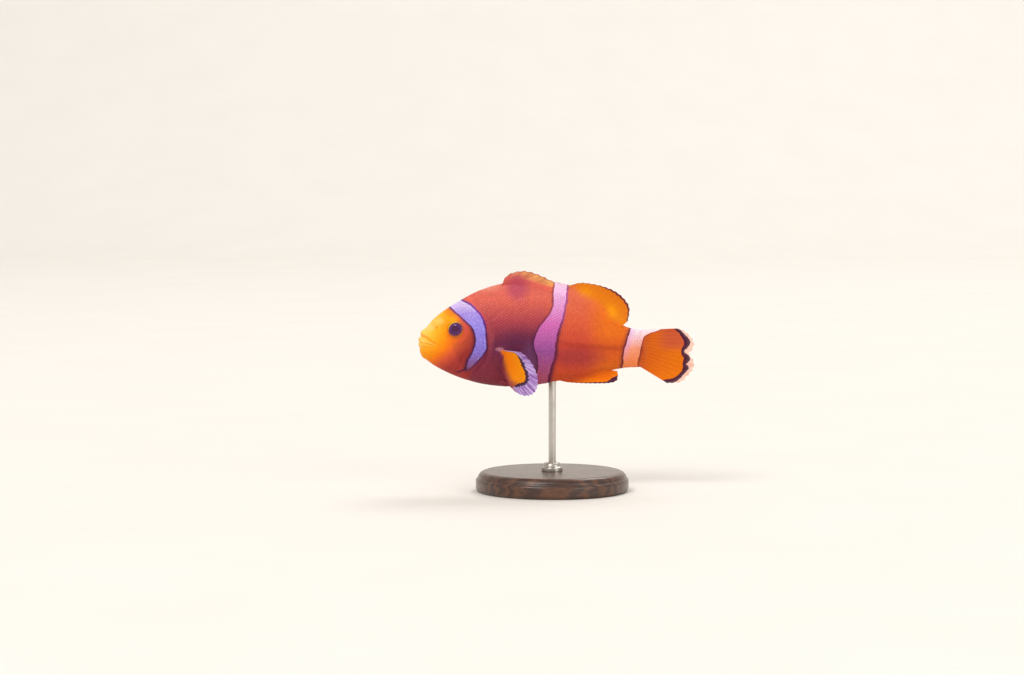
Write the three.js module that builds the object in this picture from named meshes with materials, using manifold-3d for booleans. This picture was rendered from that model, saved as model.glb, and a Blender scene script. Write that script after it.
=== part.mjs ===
// A life-size still model of a false clown anemonefish, swimming, held over a small stand by one rod.
//
// Millimetres, +Z up. The fish faces -X and its left side faces -Y. The origin is the centre of the
// stand's underside, on the axis of the rod.
//
// The fish is modelled straight in its own coordinates, x from the tip of the snout backwards and z from
// a level line through the mouth, and a slow swimming bend moves its tail sideways at the end. The body
// is one closed loft, which prisms part into head, jaw, gill covers, trunk and tail stem. Each fin is a
// thin slab whose rays stand up as ridges, and its root is cut to the shape of the body it grows from.

import * as THREE from 'three';
import { mergeVertices } from 'three/addons/utils/BufferGeometryUtils.js';
import Module from 'manifold-3d';

const wasm = await Module();
wasm.setup();

// ---------------------------------------------------------------- driving sizes

const GAP = 0.3; // clearance between neighbouring pieces
const BODY_END = 67.4; // from the snout to the root of the tail fin, along the back
const NOSE_ROUND = 1.3; // how far back the blunt tip of the snout is rounded
const SKIN_DETAIL = { segments: 40, step: 0.75, growth: 0.06, longest: 3.4 }; // rings of the outer surface
const CORE_DETAIL = { segments: 24, step: 1.6, growth: 0.06, longest: 4.5 }; // and of the hidden ones
const SINK = 1.3; // how far a fin's root reaches into the body before it is cut to its shape
const BEYOND = 40; // farther out sideways than anything on the fish
// Corners well before and behind the fish, which close the outlines that part the body.
const AHEAD = [[-9, -60], [-9, 60]];
const BEHIND = [[90, -60], [90, 60]];

// The body from the snout backwards: back line, belly line and half width.
const STATIONS = [
  { x: 0, back: 3.7, belly: -3.2, half: 1.8 },
  { x: 2, back: 5.2, belly: -4.3, half: 2.9 },
  { x: 4.5, back: 8.0, belly: -6.1, half: 4.0 },
  { x: 8, back: 10.7, belly: -8.0, half: 5.2 },
  { x: 12, back: 13.3, belly: -9.7, half: 6.2 },
  { x: 17, back: 16.0, belly: -11.3, half: 7.0 },
  { x: 23, back: 18.1, belly: -12.3, half: 7.4 },
  { x: 29, back: 18.8, belly: -12.5, half: 7.3 },
  { x: 36, back: 17.5, belly: -11.9, half: 6.8 },
  { x: 43, back: 15.3, belly: -10.6, half: 5.9 },
  { x: 50, back: 12.1, belly: -9.2, half: 4.8 },
  { x: 57, back: 8.2, belly: -7.8, half: 3.6 },
  { x: 62, back: 5.6, belly: -6.95, half: 2.75 },
  { x: 65, back: 4.85, belly: -6.8, half: 2.0 },
  { x: 68, back: 4.7, belly: -6.7, half: 0.85 },
];

const EYE = { x: 11.05, z: 4.95, radius: 2.8, depth: 1.9, sunk: 0.85 };
// The mouth's line in side view, and the lips: their radius, how far they stand proud of the snout, how
// much thinner they get towards the corners, where they start and how far they pass the corners.
const MOUTH = {
  front: [-0.2, 1.05], corner: [4.3, 0.15],
  lip: 0.62, proud: 0.1, taper: 0.75, start: 0.12, past: 0.2, samples: 8, sides: 6,
};
const NOSTRIL = { x: 5.3, z: 5.5, radius: 0.5 };
const GILL_COVER = { thick: 1.4, proud: 0.25, fromMiddle: 0.4 };

// Curves in side view, as x and z, from above the back to below the belly.
const GILL_EDGE = [
  [13.0, 21], [14.6, 14], [17.6, 9.8], [20.2, 5.5], [20.9, 1.2],
  [20.1, -3.4], [17.4, -7.5], [13.8, -10.6], [12.2, -14],
];
const CHEEK_EDGE = [
  [20.5, 10.2], [17.6, 8.9], [15.4, 7.1], [14.8, 4.2], [13.7, 0.6],
  [13.2, -3.0], [11.7, -6.3], [9.6, -8.6], [8.8, -13],
];
const STEM_EDGE = [[64.2, 9], [62.4, 1], [61.5, -3], [60.8, -10]];
const FIN_ROOT_EDGE = [[67.9, 9], [66.9, 1], [66.0, -5], [65.7, -10]];
const JAW = [
  [-3, 1.75], MOUTH.front, MOUTH.corner,
  [5.3, -1.4], [6.2, -3.8], [7.1, -6.6], [7.8, -10], [-3, -10],
];

// Every fin has its number of rays and of rows along them, its thickness at the root and at the margin, the
// height of the rays' ridges, and how far the membrane falls short of their tips. A fin that stands in the
// fish's middle plane also has its margin in side view, and a sideways wave along that margin: how far it
// swings, how many half turns it makes and where it starts.
const SPINY_DORSAL = {
  rays: 11, rows: 4, thickRoot: 1.7, thickTip: 0.5, ridge: 0.42, notch: 0.5,
  from: 25.0, to: 41.6, lean: 1.6, wave: { swing: 0.35, turns: 4, start: 0 },
  margin: [
    [25.7, 20.2], [27.2, 21.4], [29.4, 22.05], [31.9, 22.25],
    [34.7, 21.6], [37.6, 20.4], [40.8, 18.95], [45.3, 18.0],
  ],
};
const SOFT_DORSAL = {
  rays: 15, rows: 4, thickRoot: 1.6, thickTip: 0.5, ridge: 0.36, notch: 0.35,
  from: 42.4, to: 61.2, wave: { swing: 0.5, turns: 3, start: 0 },
  margin: [
    [46.3, 18.2], [48.6, 18.7], [52.0, 18.4], [55.4, 17.6],
    [58.8, 16.2], [61.6, 13.9], [63.2, 11.0], [62.7, 7.2],
  ],
};
const ANAL = {
  rays: 14, rows: 4, thickRoot: 1.4, thickTip: 0.5, ridge: 0.34, notch: 0.3,
  from: 42.2, to: 57.6, wave: { swing: 0.3, turns: 3, start: 0 },
  margin: [
    [44.6, -11.25], [47.4, -11.5], [50.4, -11.6], [54.0, -11.6],
    [57.4, -11.5], [59.4, -10.8], [59.8, -9.0], [59.6, -7.9],
  ],
};
// rootShares are the shares of the root's curve that lie on the upper and lower line of the tail stem.
const TAIL_FIN = {
  rays: 15, rows: 6, thickRoot: 1.5, thickTip: 0.5, ridge: 0.4, notch: 0.45,
  rootShares: [0.235, 0.815], wave: { swing: 0.7, turns: 3.4, start: 0.4 },
  margin: [
    [78.0, 4.9], [80.4, 3.6], [82.6, 1.0], [82.4, -1.2], [81.3, -2.9], [82.6, -5.0],
    [82.5, -7.4], [80.6, -9.8], [78.6, -11.4], [74.6, -11.6],
  ],
};

// The pectoral fin: a fan from a short upright root on the flank, swept back, down and outwards. Its rays
// turn from one angle to the other, and lean says how far up the fan the longest ones lie: 1 is the middle.
const PECTORAL = {
  rays: 16, rows: 6, thickRoot: 1.9, thickTip: 0.5, ridge: 0.36, notch: 0.4,
  rootX: 24.4, rootTop: -1.4, rootBottom: -6.2, rootY: 6.0,
  flare: 35, droop: 0.3, fromAngle: 8, toAngle: 60,
  longest: 16.3, upper: 7.5, lower: 6.5, lean: 0.95, cup: 1.1,
  lobe: { x: 24.0, y: 6.7, z: -3.9, long: 1.7, wide: 1.3, deep: 3.2, turned: 0.35, tipped: 0.1 },
};
// The pelvic fin: a narrow fan folded back under the belly.
const PELVIC = {
  rays: 6, rows: 5, thickRoot: 1.4, thickTip: 0.5, ridge: 0.36, notch: 0.5,
  rootX: 25.6, rootY: 1.9, rootZ: -11.6, width: 2.4, length: 12.4, shortest: 8.2,
  fall: 15, splay: 8, fan: 13, bow: 0.5,
};

const BEND = { from: 38, reach: 45, sideways: 2.2 }; // the tail swings this far to the right
const STAND = {
  rodX: 40, axisHeight: 44, rodRadius: 1.1, rodFoot: 2.3, socketDepth: 3,
  baseRadius: 23, baseHeight: 6, edge: 0.8, collarRadius: 3.2, collarHeight: 2.6, segments: 24,
};

// ---------------------------------------------------------------- curves and closed surfaces

// A smooth curve through [x, y] points, as a function of x, with each slope taken from its neighbours.
function curveThrough(points) {
  const slope = points.map((_, i) => {
    const a = points[Math.max(i - 1, 0)];
    const b = points[Math.min(i + 1, points.length - 1)];
    return (b[1] - a[1]) / (b[0] - a[0]);
  });
  return (x) => {
    let i = 0;
    while (i < points.length - 2 && x > points[i + 1][0]) i++;
    const [x0, y0] = points[i];
    const [x1, y1] = points[i + 1];
    const w = x1 - x0;
    const t = THREE.MathUtils.clamp((x - x0) / w, 0, 1);
    const h = t * t * (3 - 2 * t);
    return y0 + (y1 - y0) * h + w * (slope[i] * t * (1 - t) ** 2 - slope[i + 1] * t * t * (1 - t));
  };
}

const backLine = curveThrough(STATIONS.map((s) => [s.x, s.back]));
const bellyLine = curveThrough(STATIONS.map((s) => [s.x, s.belly]));
const halfWidth = curveThrough(STATIONS.map((s) => [s.x, s.half]));

// A smooth curve in side view, evenly sampled.
function sideCurve(points, samples) {
  const curve = new THREE.SplineCurve(points.map(([x, z]) => new THREE.Vector2(x, z)));
  return curve.getSpacedPoints(samples).map((p) => [p.x, p.y]);
}

// The point at share s of the way along such a curve.
function marginOf(points) {
  const curve = new THREE.SplineCurve(points.map(([x, z]) => new THREE.Vector2(x, z)));
  return (s) => curve.getPointAt(s);
}

// The curve moved by a distance to its left, as seen when going along it.
function movedAside(points, distance) {
  return points.map(([x, z], i) => {
    const a = points[Math.max(i - 1, 0)];
    const b = points[Math.min(i + 1, points.length - 1)];
    const length = Math.hypot(b[0] - a[0], b[1] - a[1]);
    return [x - (distance * (b[1] - a[1])) / length, z + (distance * (b[0] - a[0])) / length];
  });
}

function geometryOf(points, triangles) {
  const geometry = new THREE.BufferGeometry().setFromPoints(points);
  geometry.setIndex(triangles);
  return geometry;
}

// A closed tube through rings of points, with a fan to the middle of each end ring.
function tubeGeometry(rings) {
  const n = rings[0].length;
  const points = rings.flat();
  const triangles = [];
  for (let r = 0; r < rings.length - 1; r++) {
    for (let i = 0; i < n; i++) {
      const a = r * n + i;
      const b = r * n + ((i + 1) % n);
      triangles.push(a, a + n, b, b, a + n, b + n);
    }
  }
  const middle = (ring) => ring.reduce((sum, p) => sum.add(p), new THREE.Vector3()).divideScalar(n);
  const first = points.push(middle(rings[0])) - 1;
  const last = points.push(middle(rings[rings.length - 1])) - 1;
  const lastRing = (rings.length - 1) * n;
  for (let i = 0; i < n; i++) {
    const next = (i + 1) % n;
    triangles.push(first, i, next, last, lastRing + next, lastRing + i);
  }
  return geometryOf(points, triangles);
}

// A closed slab between two grids of points, split into triangles alike on both faces.
function slabGeometry(front, back) {
  const columns = front.length;
  const rows = front[0].length;
  const points = [...front.flat(), ...back.flat()];
  const other = columns * rows;
  const triangles = [];
  const quad = (a, b, c, d) => triangles.push(a, b, c, a, c, d);
  for (let i = 0; i < columns - 1; i++) {
    for (let j = 0; j < rows - 1; j++) {
      const a = i * rows + j;
      const [b, c, d] = [a + rows, a + rows + 1, a + 1];
      triangles.push(a, b, c, a, c, d);
      triangles.push(other + a, other + c, other + b, other + a, other + d, other + c);
    }
    const [root, tip] = [i * rows, i * rows + rows - 1];
    quad(root, root + other, root + rows + other, root + rows);
    quad(tip, tip + rows, tip + rows + other, tip + other);
  }
  for (let j = 0; j < rows - 1; j++) {
    const end = (columns - 1) * rows + j;
    quad(j, j + 1, j + 1 + other, j + other);
    quad(end, end + other, end + 1 + other, end + 1);
  }
  return geometryOf(points, triangles);
}

// ---------------------------------------------------------------- solids

function solidOf(geometry) {
  const bare = geometry.index ? geometry : mergeVertices(geometry);
  const position = new THREE.BufferGeometry().setAttribute('position', bare.getAttribute('position'));
  position.setIndex(bare.index);
  const merged = mergeVertices(position, 1e-4);
  const corners = merged.index.array;
  const kept = [];
  for (let i = 0; i < corners.length; i += 3) {
    const [a, b, c] = [corners[i], corners[i + 1], corners[i + 2]];
    if (a !== b && b !== c && c !== a) kept.push(a, b, c);
  }
  const solid = new wasm.Manifold(
    new wasm.Mesh({
      numProp: 3,
      vertProperties: merged.attributes.position.array,
      triVerts: new Uint32Array(kept),
    }),
  );
  if (solid.volume() > 0) return solid;
  const turned = kept.map((_, i) => kept[i - (i % 3) + [0, 2, 1][i % 3]]);
  return new wasm.Manifold(
    new wasm.Mesh({
      numProp: 3,
      vertProperties: merged.attributes.position.array,
      triVerts: new Uint32Array(turned),
    }),
  );
}

// An outline in side view, carried sideways from one y to another.
function prism(outline, fromY = -BEYOND, toY = BEYOND) {
  const shape = new THREE.Shape(outline.map(([x, z]) => new THREE.Vector2(x, z)));
  const geometry = new THREE.ExtrudeGeometry(shape, { depth: toY - fromY, bevelEnabled: false, steps: 1 });
  geometry.deleteAttribute('normal');
  geometry.deleteAttribute('uv');
  geometry.rotateX(Math.PI / 2).translate(0, toY, 0);
  return solidOf(geometry);
}

// Everything on one side of the fish from a distance off its middle plane outwards.
function sideOf(side, fromMiddle) {
  const outline = [...AHEAD, ...BEHIND.toReversed()];
  return side < 0 ? prism(outline, -BEYOND, -fromMiddle) : prism(outline, fromMiddle, BEYOND);
}

function latheSolid(profile, segments) {
  const geometry = new THREE.LatheGeometry(profile.map(([r, z]) => new THREE.Vector2(r, z)), segments);
  geometry.deleteAttribute('normal');
  geometry.deleteAttribute('uv');
  geometry.rotateX(Math.PI / 2);
  return solidOf(geometry);
}

// The largest closed surface of a solid.
function largest(solid) {
  return solid.decompose().sort((a, b) => b.volume() - a.volume())[0];
}

// ---------------------------------------------------------------- body

// The share of its full depth and width that the blunt snout has at a place.
function noseShare(x) {
  const blunt = THREE.MathUtils.clamp(x / NOSE_ROUND, 0, 1);
  return Math.sqrt(1 - (1 - blunt) ** 2);
}

const middleLine = (x) => (backLine(x) + bellyLine(x)) / 2;
const halfDepth = (x) => (noseShare(x) * (backLine(x) - bellyLine(x))) / 2;

// A point of the body's skin, grown outwards by a distance. Angle 0 is the back and a quarter turn the left
// side. The section is two half ellipses, slightly pinched above, that meet at the middle of the depth.
function skinPoint(x, angle, grow) {
  const middle = middleLine(x);
  const rise = halfDepth(x) + grow;
  const half = Math.max(noseShare(x) * halfWidth(x) + grow, 0.25);
  const pinch = Math.cos(angle) > 0 ? 1 + 0.18 * Math.min(x / 20, 1) : 0.95;
  const across = Math.sign(Math.sin(angle)) * Math.abs(Math.sin(angle)) ** pinch;
  return new THREE.Vector3(x, -half * across, middle + rise * Math.cos(angle));
}

function skinNormal(x, angle) {
  const step = 0.02;
  const ahead = Math.max(x, step);
  const along = skinPoint(ahead + step, angle, 0).sub(skinPoint(ahead - step, angle, 0));
  const around = skinPoint(ahead, angle + step, 0).sub(skinPoint(ahead, angle - step, 0));
  return along.cross(around).normalize().negate();
}

// The angle at which the skin passes a height z on the left side.
function skinAngle(x, z) {
  return Math.acos(THREE.MathUtils.clamp((z - middleLine(x)) / halfDepth(x), -1, 1));
}

// Ring places, close together over the snout and wider towards the tail.
function ringPlaces(detail) {
  const places = [14, 38, 64].map((a) => NOSE_ROUND * (1 - Math.cos(THREE.MathUtils.degToRad(a))));
  let x = NOSE_ROUND;
  while (x < BODY_END + 0.6) {
    places.push(x);
    x += Math.min(detail.step + detail.growth * x, detail.longest);
  }
  return [...places, BODY_END + 0.6];
}

function bodySolid(grow, detail) {
  const rings = ringPlaces(detail).map((x) =>
    Array.from({ length: detail.segments }, (_, i) => {
      const angle = (i / detail.segments) * 2 * Math.PI;
      return skinPoint(x, angle, grow);
    }),
  );
  return solidOf(tubeGeometry(rings));
}

function ellipsoid(centre, axis, radius, depth, segments) {
  const geometry = new THREE.SphereGeometry(1, segments, Math.round(segments * 0.6));
  geometry.deleteAttribute('normal');
  geometry.deleteAttribute('uv');
  geometry.scale(radius, depth, radius);
  geometry.applyQuaternion(new THREE.Quaternion().setFromUnitVectors(new THREE.Vector3(0, 1, 0), axis));
  geometry.translate(centre.x, centre.y, centre.z);
  return solidOf(geometry);
}

const SIDES = [[-1, 'left'], [1, 'right']];

// The point or direction on the left side, taken to the given side.
const mirrored = (v, side) => new THREE.Vector3(v.x, -side * v.y, v.z);

function eyeBall(side, grow) {
  const angle = skinAngle(EYE.x, EYE.z);
  const out = mirrored(skinNormal(EYE.x, angle), side);
  const centre = mirrored(skinPoint(EYE.x, angle, 0), side).addScaledVector(out, -EYE.sunk);
  return ellipsoid(centre, out, EYE.radius + grow, EYE.depth + grow, 22);
}

function nostrilPit(side) {
  const angle = skinAngle(NOSTRIL.x, NOSTRIL.z);
  const centre = mirrored(skinPoint(NOSTRIL.x, angle, 0), side);
  return ellipsoid(centre, new THREE.Vector3(0, 1, 0), NOSTRIL.radius, NOSTRIL.radius, 10);
}

// A lip: a roll round the snout from one corner of the mouth to the other, along the mouth's line moved up
// or down, thickest in front.
function lip(updown) {
  const [fx, fz] = MOUTH.front;
  const [cx, cz] = MOUTH.corner;
  const rings = [];
  for (let i = -MOUTH.samples; i <= MOUTH.samples; i++) {
    const share = Math.abs(i) / MOUTH.samples;
    const radius = MOUTH.lip * (1 - MOUTH.taper * share ** 2);
    const x = MOUTH.start + (cx + MOUTH.past - MOUTH.start) * share ** 2;
    const z = fz + ((cz - fz) * (x - fx)) / (cx - fx) + updown * (radius * 0.9);
    const angle = skinAngle(x, z);
    const inFront = i === 0;
    const out = inFront ? new THREE.Vector3(-1, 0, 0) : mirrored(skinNormal(x, angle), Math.sign(i));
    const centre = mirrored(skinPoint(x, angle, 0), Math.sign(i));
    centre.addScaledVector(out, MOUTH.proud - radius * 0.45);
    const up = new THREE.Vector3(0, 0, 1).addScaledVector(out, -out.z).normalize();
    rings.push(
      Array.from({ length: MOUTH.sides }, (_, k) => {
        const turn = (k / MOUTH.sides) * 2 * Math.PI;
        return centre
          .clone()
          .addScaledVector(out, radius * Math.cos(turn))
          .addScaledVector(up, radius * Math.sin(turn));
      }),
    );
  }
  return solidOf(tubeGeometry(rings));
}

// The fleshy lobe that carries a pectoral fin.
function pectoralLobe(side, grow) {
  const { x, y, z, long, wide, deep, turned, tipped } = PECTORAL.lobe;
  const axis = new THREE.Vector3(turned, side, tipped).normalize();
  const lobe = ellipsoid(new THREE.Vector3(x, side * y, z), axis, 1, (wide + grow) / (long + grow), 16);
  return lobe
    .translate([-x, -side * y, -z])
    .scale([long + grow, long + grow, deep + grow])
    .translate([x, side * y, z]);
}

function cylinder(x, z0, z1, radius) {
  const geometry = new THREE.CylinderGeometry(radius, radius, z1 - z0, STAND.segments);
  geometry.deleteAttribute('normal');
  geometry.deleteAttribute('uv');
  geometry.rotateX(Math.PI / 2).translate(x, 0, (z0 + z1) / 2);
  return solidOf(geometry);
}

// The body parted into its named pieces.
function bodyPieces() {
  const lobes = pectoralLobe(-1, 0).add(pectoralLobe(1, 0));
  const body = bodySolid(0, SKIN_DETAIL).add(lip(1)).add(lip(-1)).add(lobes);
  const gillEdge = sideCurve(GILL_EDGE, 18);
  const cheekEdge = sideCurve(CHEEK_EDGE, 16);
  const stemEdge = sideCurve(STEM_EDGE, 6);
  const finRootEdge = sideCurve(FIN_ROOT_EDGE, 6);

  const headPrism = prism([...AHEAD, ...gillEdge]);
  const afterGills = prism([...movedAside(gillEdge, GAP), ...BEHIND]);
  const afterCheek = prism([...cheekEdge, ...BEHIND]);
  const cheekRoom = prism([...movedAside(cheekEdge, -GAP), ...BEHIND]);
  // The jaw's outline moved up and backwards clears both of its edges.
  const jawPrism = prism(JAW);
  const jawRoom = jawPrism.translate([0.9 * GAP, 0, 0.9 * GAP]);
  const beforeStem = prism([...AHEAD, ...stemEdge]);
  const afterStem = prism([...movedAside(stemEdge, GAP), ...BEHIND]);
  const beforeFin = prism([...AHEAD, ...finRootEdge]);

  const coverOuter = bodySolid(GILL_COVER.proud, SKIN_DETAIL);
  const coverInner = bodySolid(-GILL_COVER.thick, CORE_DETAIL);
  const coverRoom = bodySolid(-GILL_COVER.thick - GAP, CORE_DETAIL);

  const pieces = new Map();
  let head = body.intersect(headPrism);
  const covers = coverOuter.intersect(headPrism).intersect(afterCheek).subtract(coverInner);
  for (const [side, name] of SIDES) {
    const cover = covers.intersect(sideOf(side, GILL_COVER.fromMiddle));
    const room = cheekRoom.intersect(sideOf(side, GILL_COVER.fromMiddle - GAP)).subtract(coverRoom);
    head = head.subtract(room).subtract(eyeBall(side, GAP)).subtract(nostrilPit(side));
    pieces.set(`gill_cover_${name}`, largest(cover));
    pieces.set(`eye_${name}`, eyeBall(side, 0));
  }
  pieces.set('lower_jaw', largest(head.intersect(jawPrism)));
  pieces.set('head', largest(head.subtract(jawRoom)));

  const socketTop = bellyLine(STAND.rodX) + STAND.socketDepth;
  const socket = cylinder(STAND.rodX, -BEYOND, socketTop, STAND.rodRadius + GAP);
  pieces.set('trunk', largest(body.intersect(afterGills).intersect(beforeStem).subtract(socket)));
  pieces.set('tail_stem', largest(body.intersect(afterStem).intersect(beforeFin)));
  return pieces;
}

// ---------------------------------------------------------------- fins

// A fin as a slab. Its columns run from root to margin, every second one along the crest of a ray, and the
// membrane between two rays is thinner and ends a little short of their tips. root(s) and tip(s) are the
// ends of the column at share s, normal is the way the thickness goes, and bow(s, t) bends the sheet. The
// thick flesh of the root fades over its first few millimetres.
function finSolid(fin, { root, tip, normal, bow, sink = SINK }) {
  const { rows, thickRoot, thickTip, ridge, notch } = fin;
  const columns = 2 * fin.rays - 1;
  const fleshReach = 3;
  const [front, back] = [[], []];
  for (let i = 0; i < columns; i++) {
    const s = i / (columns - 1);
    const onRay = i % 2 === 0;
    const start = root(s);
    const way = tip(s).sub(start);
    const length = way.length() - (onRay ? 0 : notch);
    way.normalize();
    const [f, b] = [[], []];
    for (let j = 0; j <= rows; j++) {
      const t = j / rows;
      const reach = -sink + (length + sink) * t;
      const flesh = Math.max(0, 1 - Math.max(reach, 0) / fleshReach) ** 2;
      const crest = onRay ? ridge * Math.min(5 * t, 1) * (1.1 - 0.8 * t) : 0;
      const thick = thickTip + (thickRoot - thickTip) * flesh + crest;
      const middle = start.clone().addScaledVector(way, reach).addScaledVector(normal, bow(s, t));
      f.push(middle.clone().addScaledVector(normal, thick / 2));
      b.push(middle.clone().addScaledVector(normal, -thick / 2));
    }
    front.push(f);
    back.push(b);
  }
  return solidOf(slabGeometry(front, back));
}

// A fin in the fish's middle plane, waved sideways more and more towards its margin.
function uprightFin(fin, root, sink) {
  const margin = marginOf(fin.margin);
  const tip = (s) => new THREE.Vector3(margin(s).x, 0, margin(s).y);
  const { swing, turns, start } = fin.wave;
  const bow = (s, t) => swing * t * t * Math.sin(turns * Math.PI * s + start);
  return finSolid(fin, { root, tip, normal: new THREE.Vector3(0, 1, 0), bow, sink });
}

// Such a fin along the line of the back or of the belly. With a lean over 1 the roots crowd forwards by
// that power, so the rays lie back.
function medianFin(fin, line) {
  return uprightFin(fin, (s) => {
    const x = THREE.MathUtils.lerp(fin.from, fin.to, s ** (fin.lean ?? 1));
    return new THREE.Vector3(x, 0, line(x));
  });
}

function tailFin() {
  const rootCurve = marginOf(movedAside(sideCurve(FIN_ROOT_EDGE, 40), GAP));
  const root = (s) => {
    const p = rootCurve(THREE.MathUtils.lerp(...TAIL_FIN.rootShares, s));
    return new THREE.Vector3(p.x, 0, p.y);
  };
  return uprightFin(TAIL_FIN, root, 0);
}

// The paired fins are made on the left and mirrored by side.
function pectoralFin(side) {
  const flare = THREE.MathUtils.degToRad(PECTORAL.flare);
  const backwards = new THREE.Vector3(Math.cos(flare), -Math.sin(flare), 0);
  const downwards = new THREE.Vector3(0, -PECTORAL.droop, -1).normalize();
  const normal = backwards.clone().cross(downwards).normalize();
  const root = (s) => {
    const z = THREE.MathUtils.lerp(PECTORAL.rootTop, PECTORAL.rootBottom, s);
    return new THREE.Vector3(PECTORAL.rootX, -PECTORAL.rootY, z);
  };
  const reach = (s) => {
    const ends = THREE.MathUtils.lerp(PECTORAL.upper, PECTORAL.lower, s);
    return ends + (PECTORAL.longest - ends) * Math.sin(Math.PI * s ** PECTORAL.lean) ** 0.9;
  };
  const tip = (s) => {
    const angle = THREE.MathUtils.degToRad(THREE.MathUtils.lerp(PECTORAL.fromAngle, PECTORAL.toAngle, s));
    return root(s)
      .addScaledVector(backwards, reach(s) * Math.cos(angle))
      .addScaledVector(downwards, reach(s) * Math.sin(angle));
  };
  const bow = (s, t) => PECTORAL.cup * t * t * (Math.sin(Math.PI * s) - 0.4);
  const solid = finSolid(PECTORAL, { root, tip, normal, bow });
  return side < 0 ? solid : solid.mirror([0, 1, 0]);
}

function pelvicFin(side) {
  const fall = THREE.MathUtils.degToRad(PELVIC.fall);
  // The root runs outwards, upwards and a little forwards, square to the belly's own slope there.
  const alongRoot = new THREE.Vector3(-0.25, -0.8, 0.35);
  const normal = new THREE.Vector3(0.22, -0.36, -0.91).normalize();
  const root = (s) => {
    const inner = new THREE.Vector3(PELVIC.rootX, -PELVIC.rootY, PELVIC.rootZ);
    return inner.addScaledVector(alongRoot, PELVIC.width * (1 - s));
  };
  const tip = (s) => {
    const aside = THREE.MathUtils.degToRad(PELVIC.splay + PELVIC.fan * (0.5 - s));
    const length = THREE.MathUtils.lerp(PELVIC.length, PELVIC.shortest, s ** 1.5);
    const way = new THREE.Vector3(Math.cos(fall) * Math.cos(aside), -Math.sin(aside), -Math.sin(fall));
    return root(s).addScaledVector(way, length);
  };
  const bow = (s, t) => PELVIC.bow * Math.sin(Math.PI * s) * t;
  const solid = finSolid(PELVIC, { root, tip, normal, bow });
  return side < 0 ? solid : solid.mirror([0, 1, 0]);
}

function finPieces() {
  const clearance = bodySolid(GAP, SKIN_DETAIL).add(pectoralLobe(-1, GAP)).add(pectoralLobe(1, GAP));
  const rooted = (solid) => largest(solid.subtract(clearance));
  const pieces = new Map([
    ['dorsal_fin_spiny', rooted(medianFin(SPINY_DORSAL, backLine))],
    ['dorsal_fin_soft', rooted(medianFin(SOFT_DORSAL, backLine))],
    ['anal_fin', rooted(medianFin(ANAL, bellyLine))],
    ['tail_fin', tailFin()],
  ]);
  for (const [side, name] of SIDES) {
    pieces.set(`pectoral_fin_${name}`, rooted(pectoralFin(side)));
    pieces.set(`pelvic_fin_${name}`, rooted(pelvicFin(side)));
  }
  return pieces;
}

// ---------------------------------------------------------------- stand

function standPieces() {
  const { rodRadius, rodFoot, segments, baseRadius: r, baseHeight: h, edge, collarRadius } = STAND;
  const hole = rodRadius + GAP;
  const base = latheSolid([
    [0, 0], [r - edge, 0], [r, edge], [r, h - 2 * edge],
    [r - edge, h - edge / 2], [r - 3 * edge, h], [0, h],
  ], 2 * segments);
  const collarTop = h + STAND.collarHeight;
  const shoulder = h + 0.6 * STAND.collarHeight;
  const collar = latheSolid([
    [hole, h], [collarRadius, h], [collarRadius, shoulder],
    [0.8 * collarRadius, collarTop], [hole, collarTop], [hole, h],
  ], segments);
  const rodTop = STAND.axisHeight + bellyLine(STAND.rodX) + STAND.socketDepth - GAP;
  return new Map([
    ['stand_base', base.subtract(cylinder(0, rodFoot - GAP, collarTop, hole))],
    ['stand_collar', collar],
    ['stand_rod', cylinder(0, rodFoot, rodTop, rodRadius)],
  ]);
}

// ---------------------------------------------------------------- the model

const finish = (color, roughness, metalness = 0) =>
  new THREE.MeshStandardMaterial({ color, roughness, metalness });
const MATERIALS = {
  skin: finish(0xe2651f, 0.45),
  fin: finish(0xee8a1a, 0.5),
  eye: finish(0x1a1420, 0.12),
  base: finish(0x4a3020, 0.5),
  metal: finish(0xb9b4aa, 0.3, 1),
};

function materialOf(name) {
  if (name.startsWith('eye')) return MATERIALS.eye;
  if (name.includes('fin')) return MATERIALS.fin;
  if (name === 'stand_base') return MATERIALS.base;
  return name.startsWith('stand') ? MATERIALS.metal : MATERIALS.skin;
}

// The sideways swing of the tail, which grows with the square of the distance behind its start.
function swimBend(x) {
  return BEND.sideways * (Math.max(x - BEND.from, 0) / BEND.reach) ** 2;
}

function geometryFrom(solid, bent) {
  const mesh = (bent ? solid.warp((v) => { v[1] += swimBend(v[0]); }) : solid).getMesh();
  const geometry = new THREE.BufferGeometry();
  geometry.setAttribute('position', new THREE.BufferAttribute(mesh.vertProperties, 3));
  geometry.setIndex(new THREE.BufferAttribute(mesh.triVerts, 1));
  geometry.computeVertexNormals();
  return geometry;
}

function groupOf(pieces, bent) {
  const group = new THREE.Group();
  for (const [name, solid] of pieces) {
    const mesh = new THREE.Mesh(geometryFrom(solid, bent), materialOf(name));
    mesh.name = name;
    group.add(mesh);
  }
  return group;
}

const fish = groupOf(new Map([...bodyPieces(), ...finPieces()]), true);
fish.position.set(-STAND.rodX, 0, STAND.axisHeight);

const model = new THREE.Group();
model.add(fish, groupOf(standPieces(), false));

export default model;
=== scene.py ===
"""A life-size clownfish model swimming on a display stand: skin, scales, fins, eyes, stand and studio.

Shapes are worked out in the fish's own millimetres: x runs back from the snout, z up from the level line
through the mouth, and y is negative on the fish's left. In the row frame x is moved forwards by the rod's
place and z up by the height of that line. Colours are written as the eye sees them, from 0 to 1.
"""
import math

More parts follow.
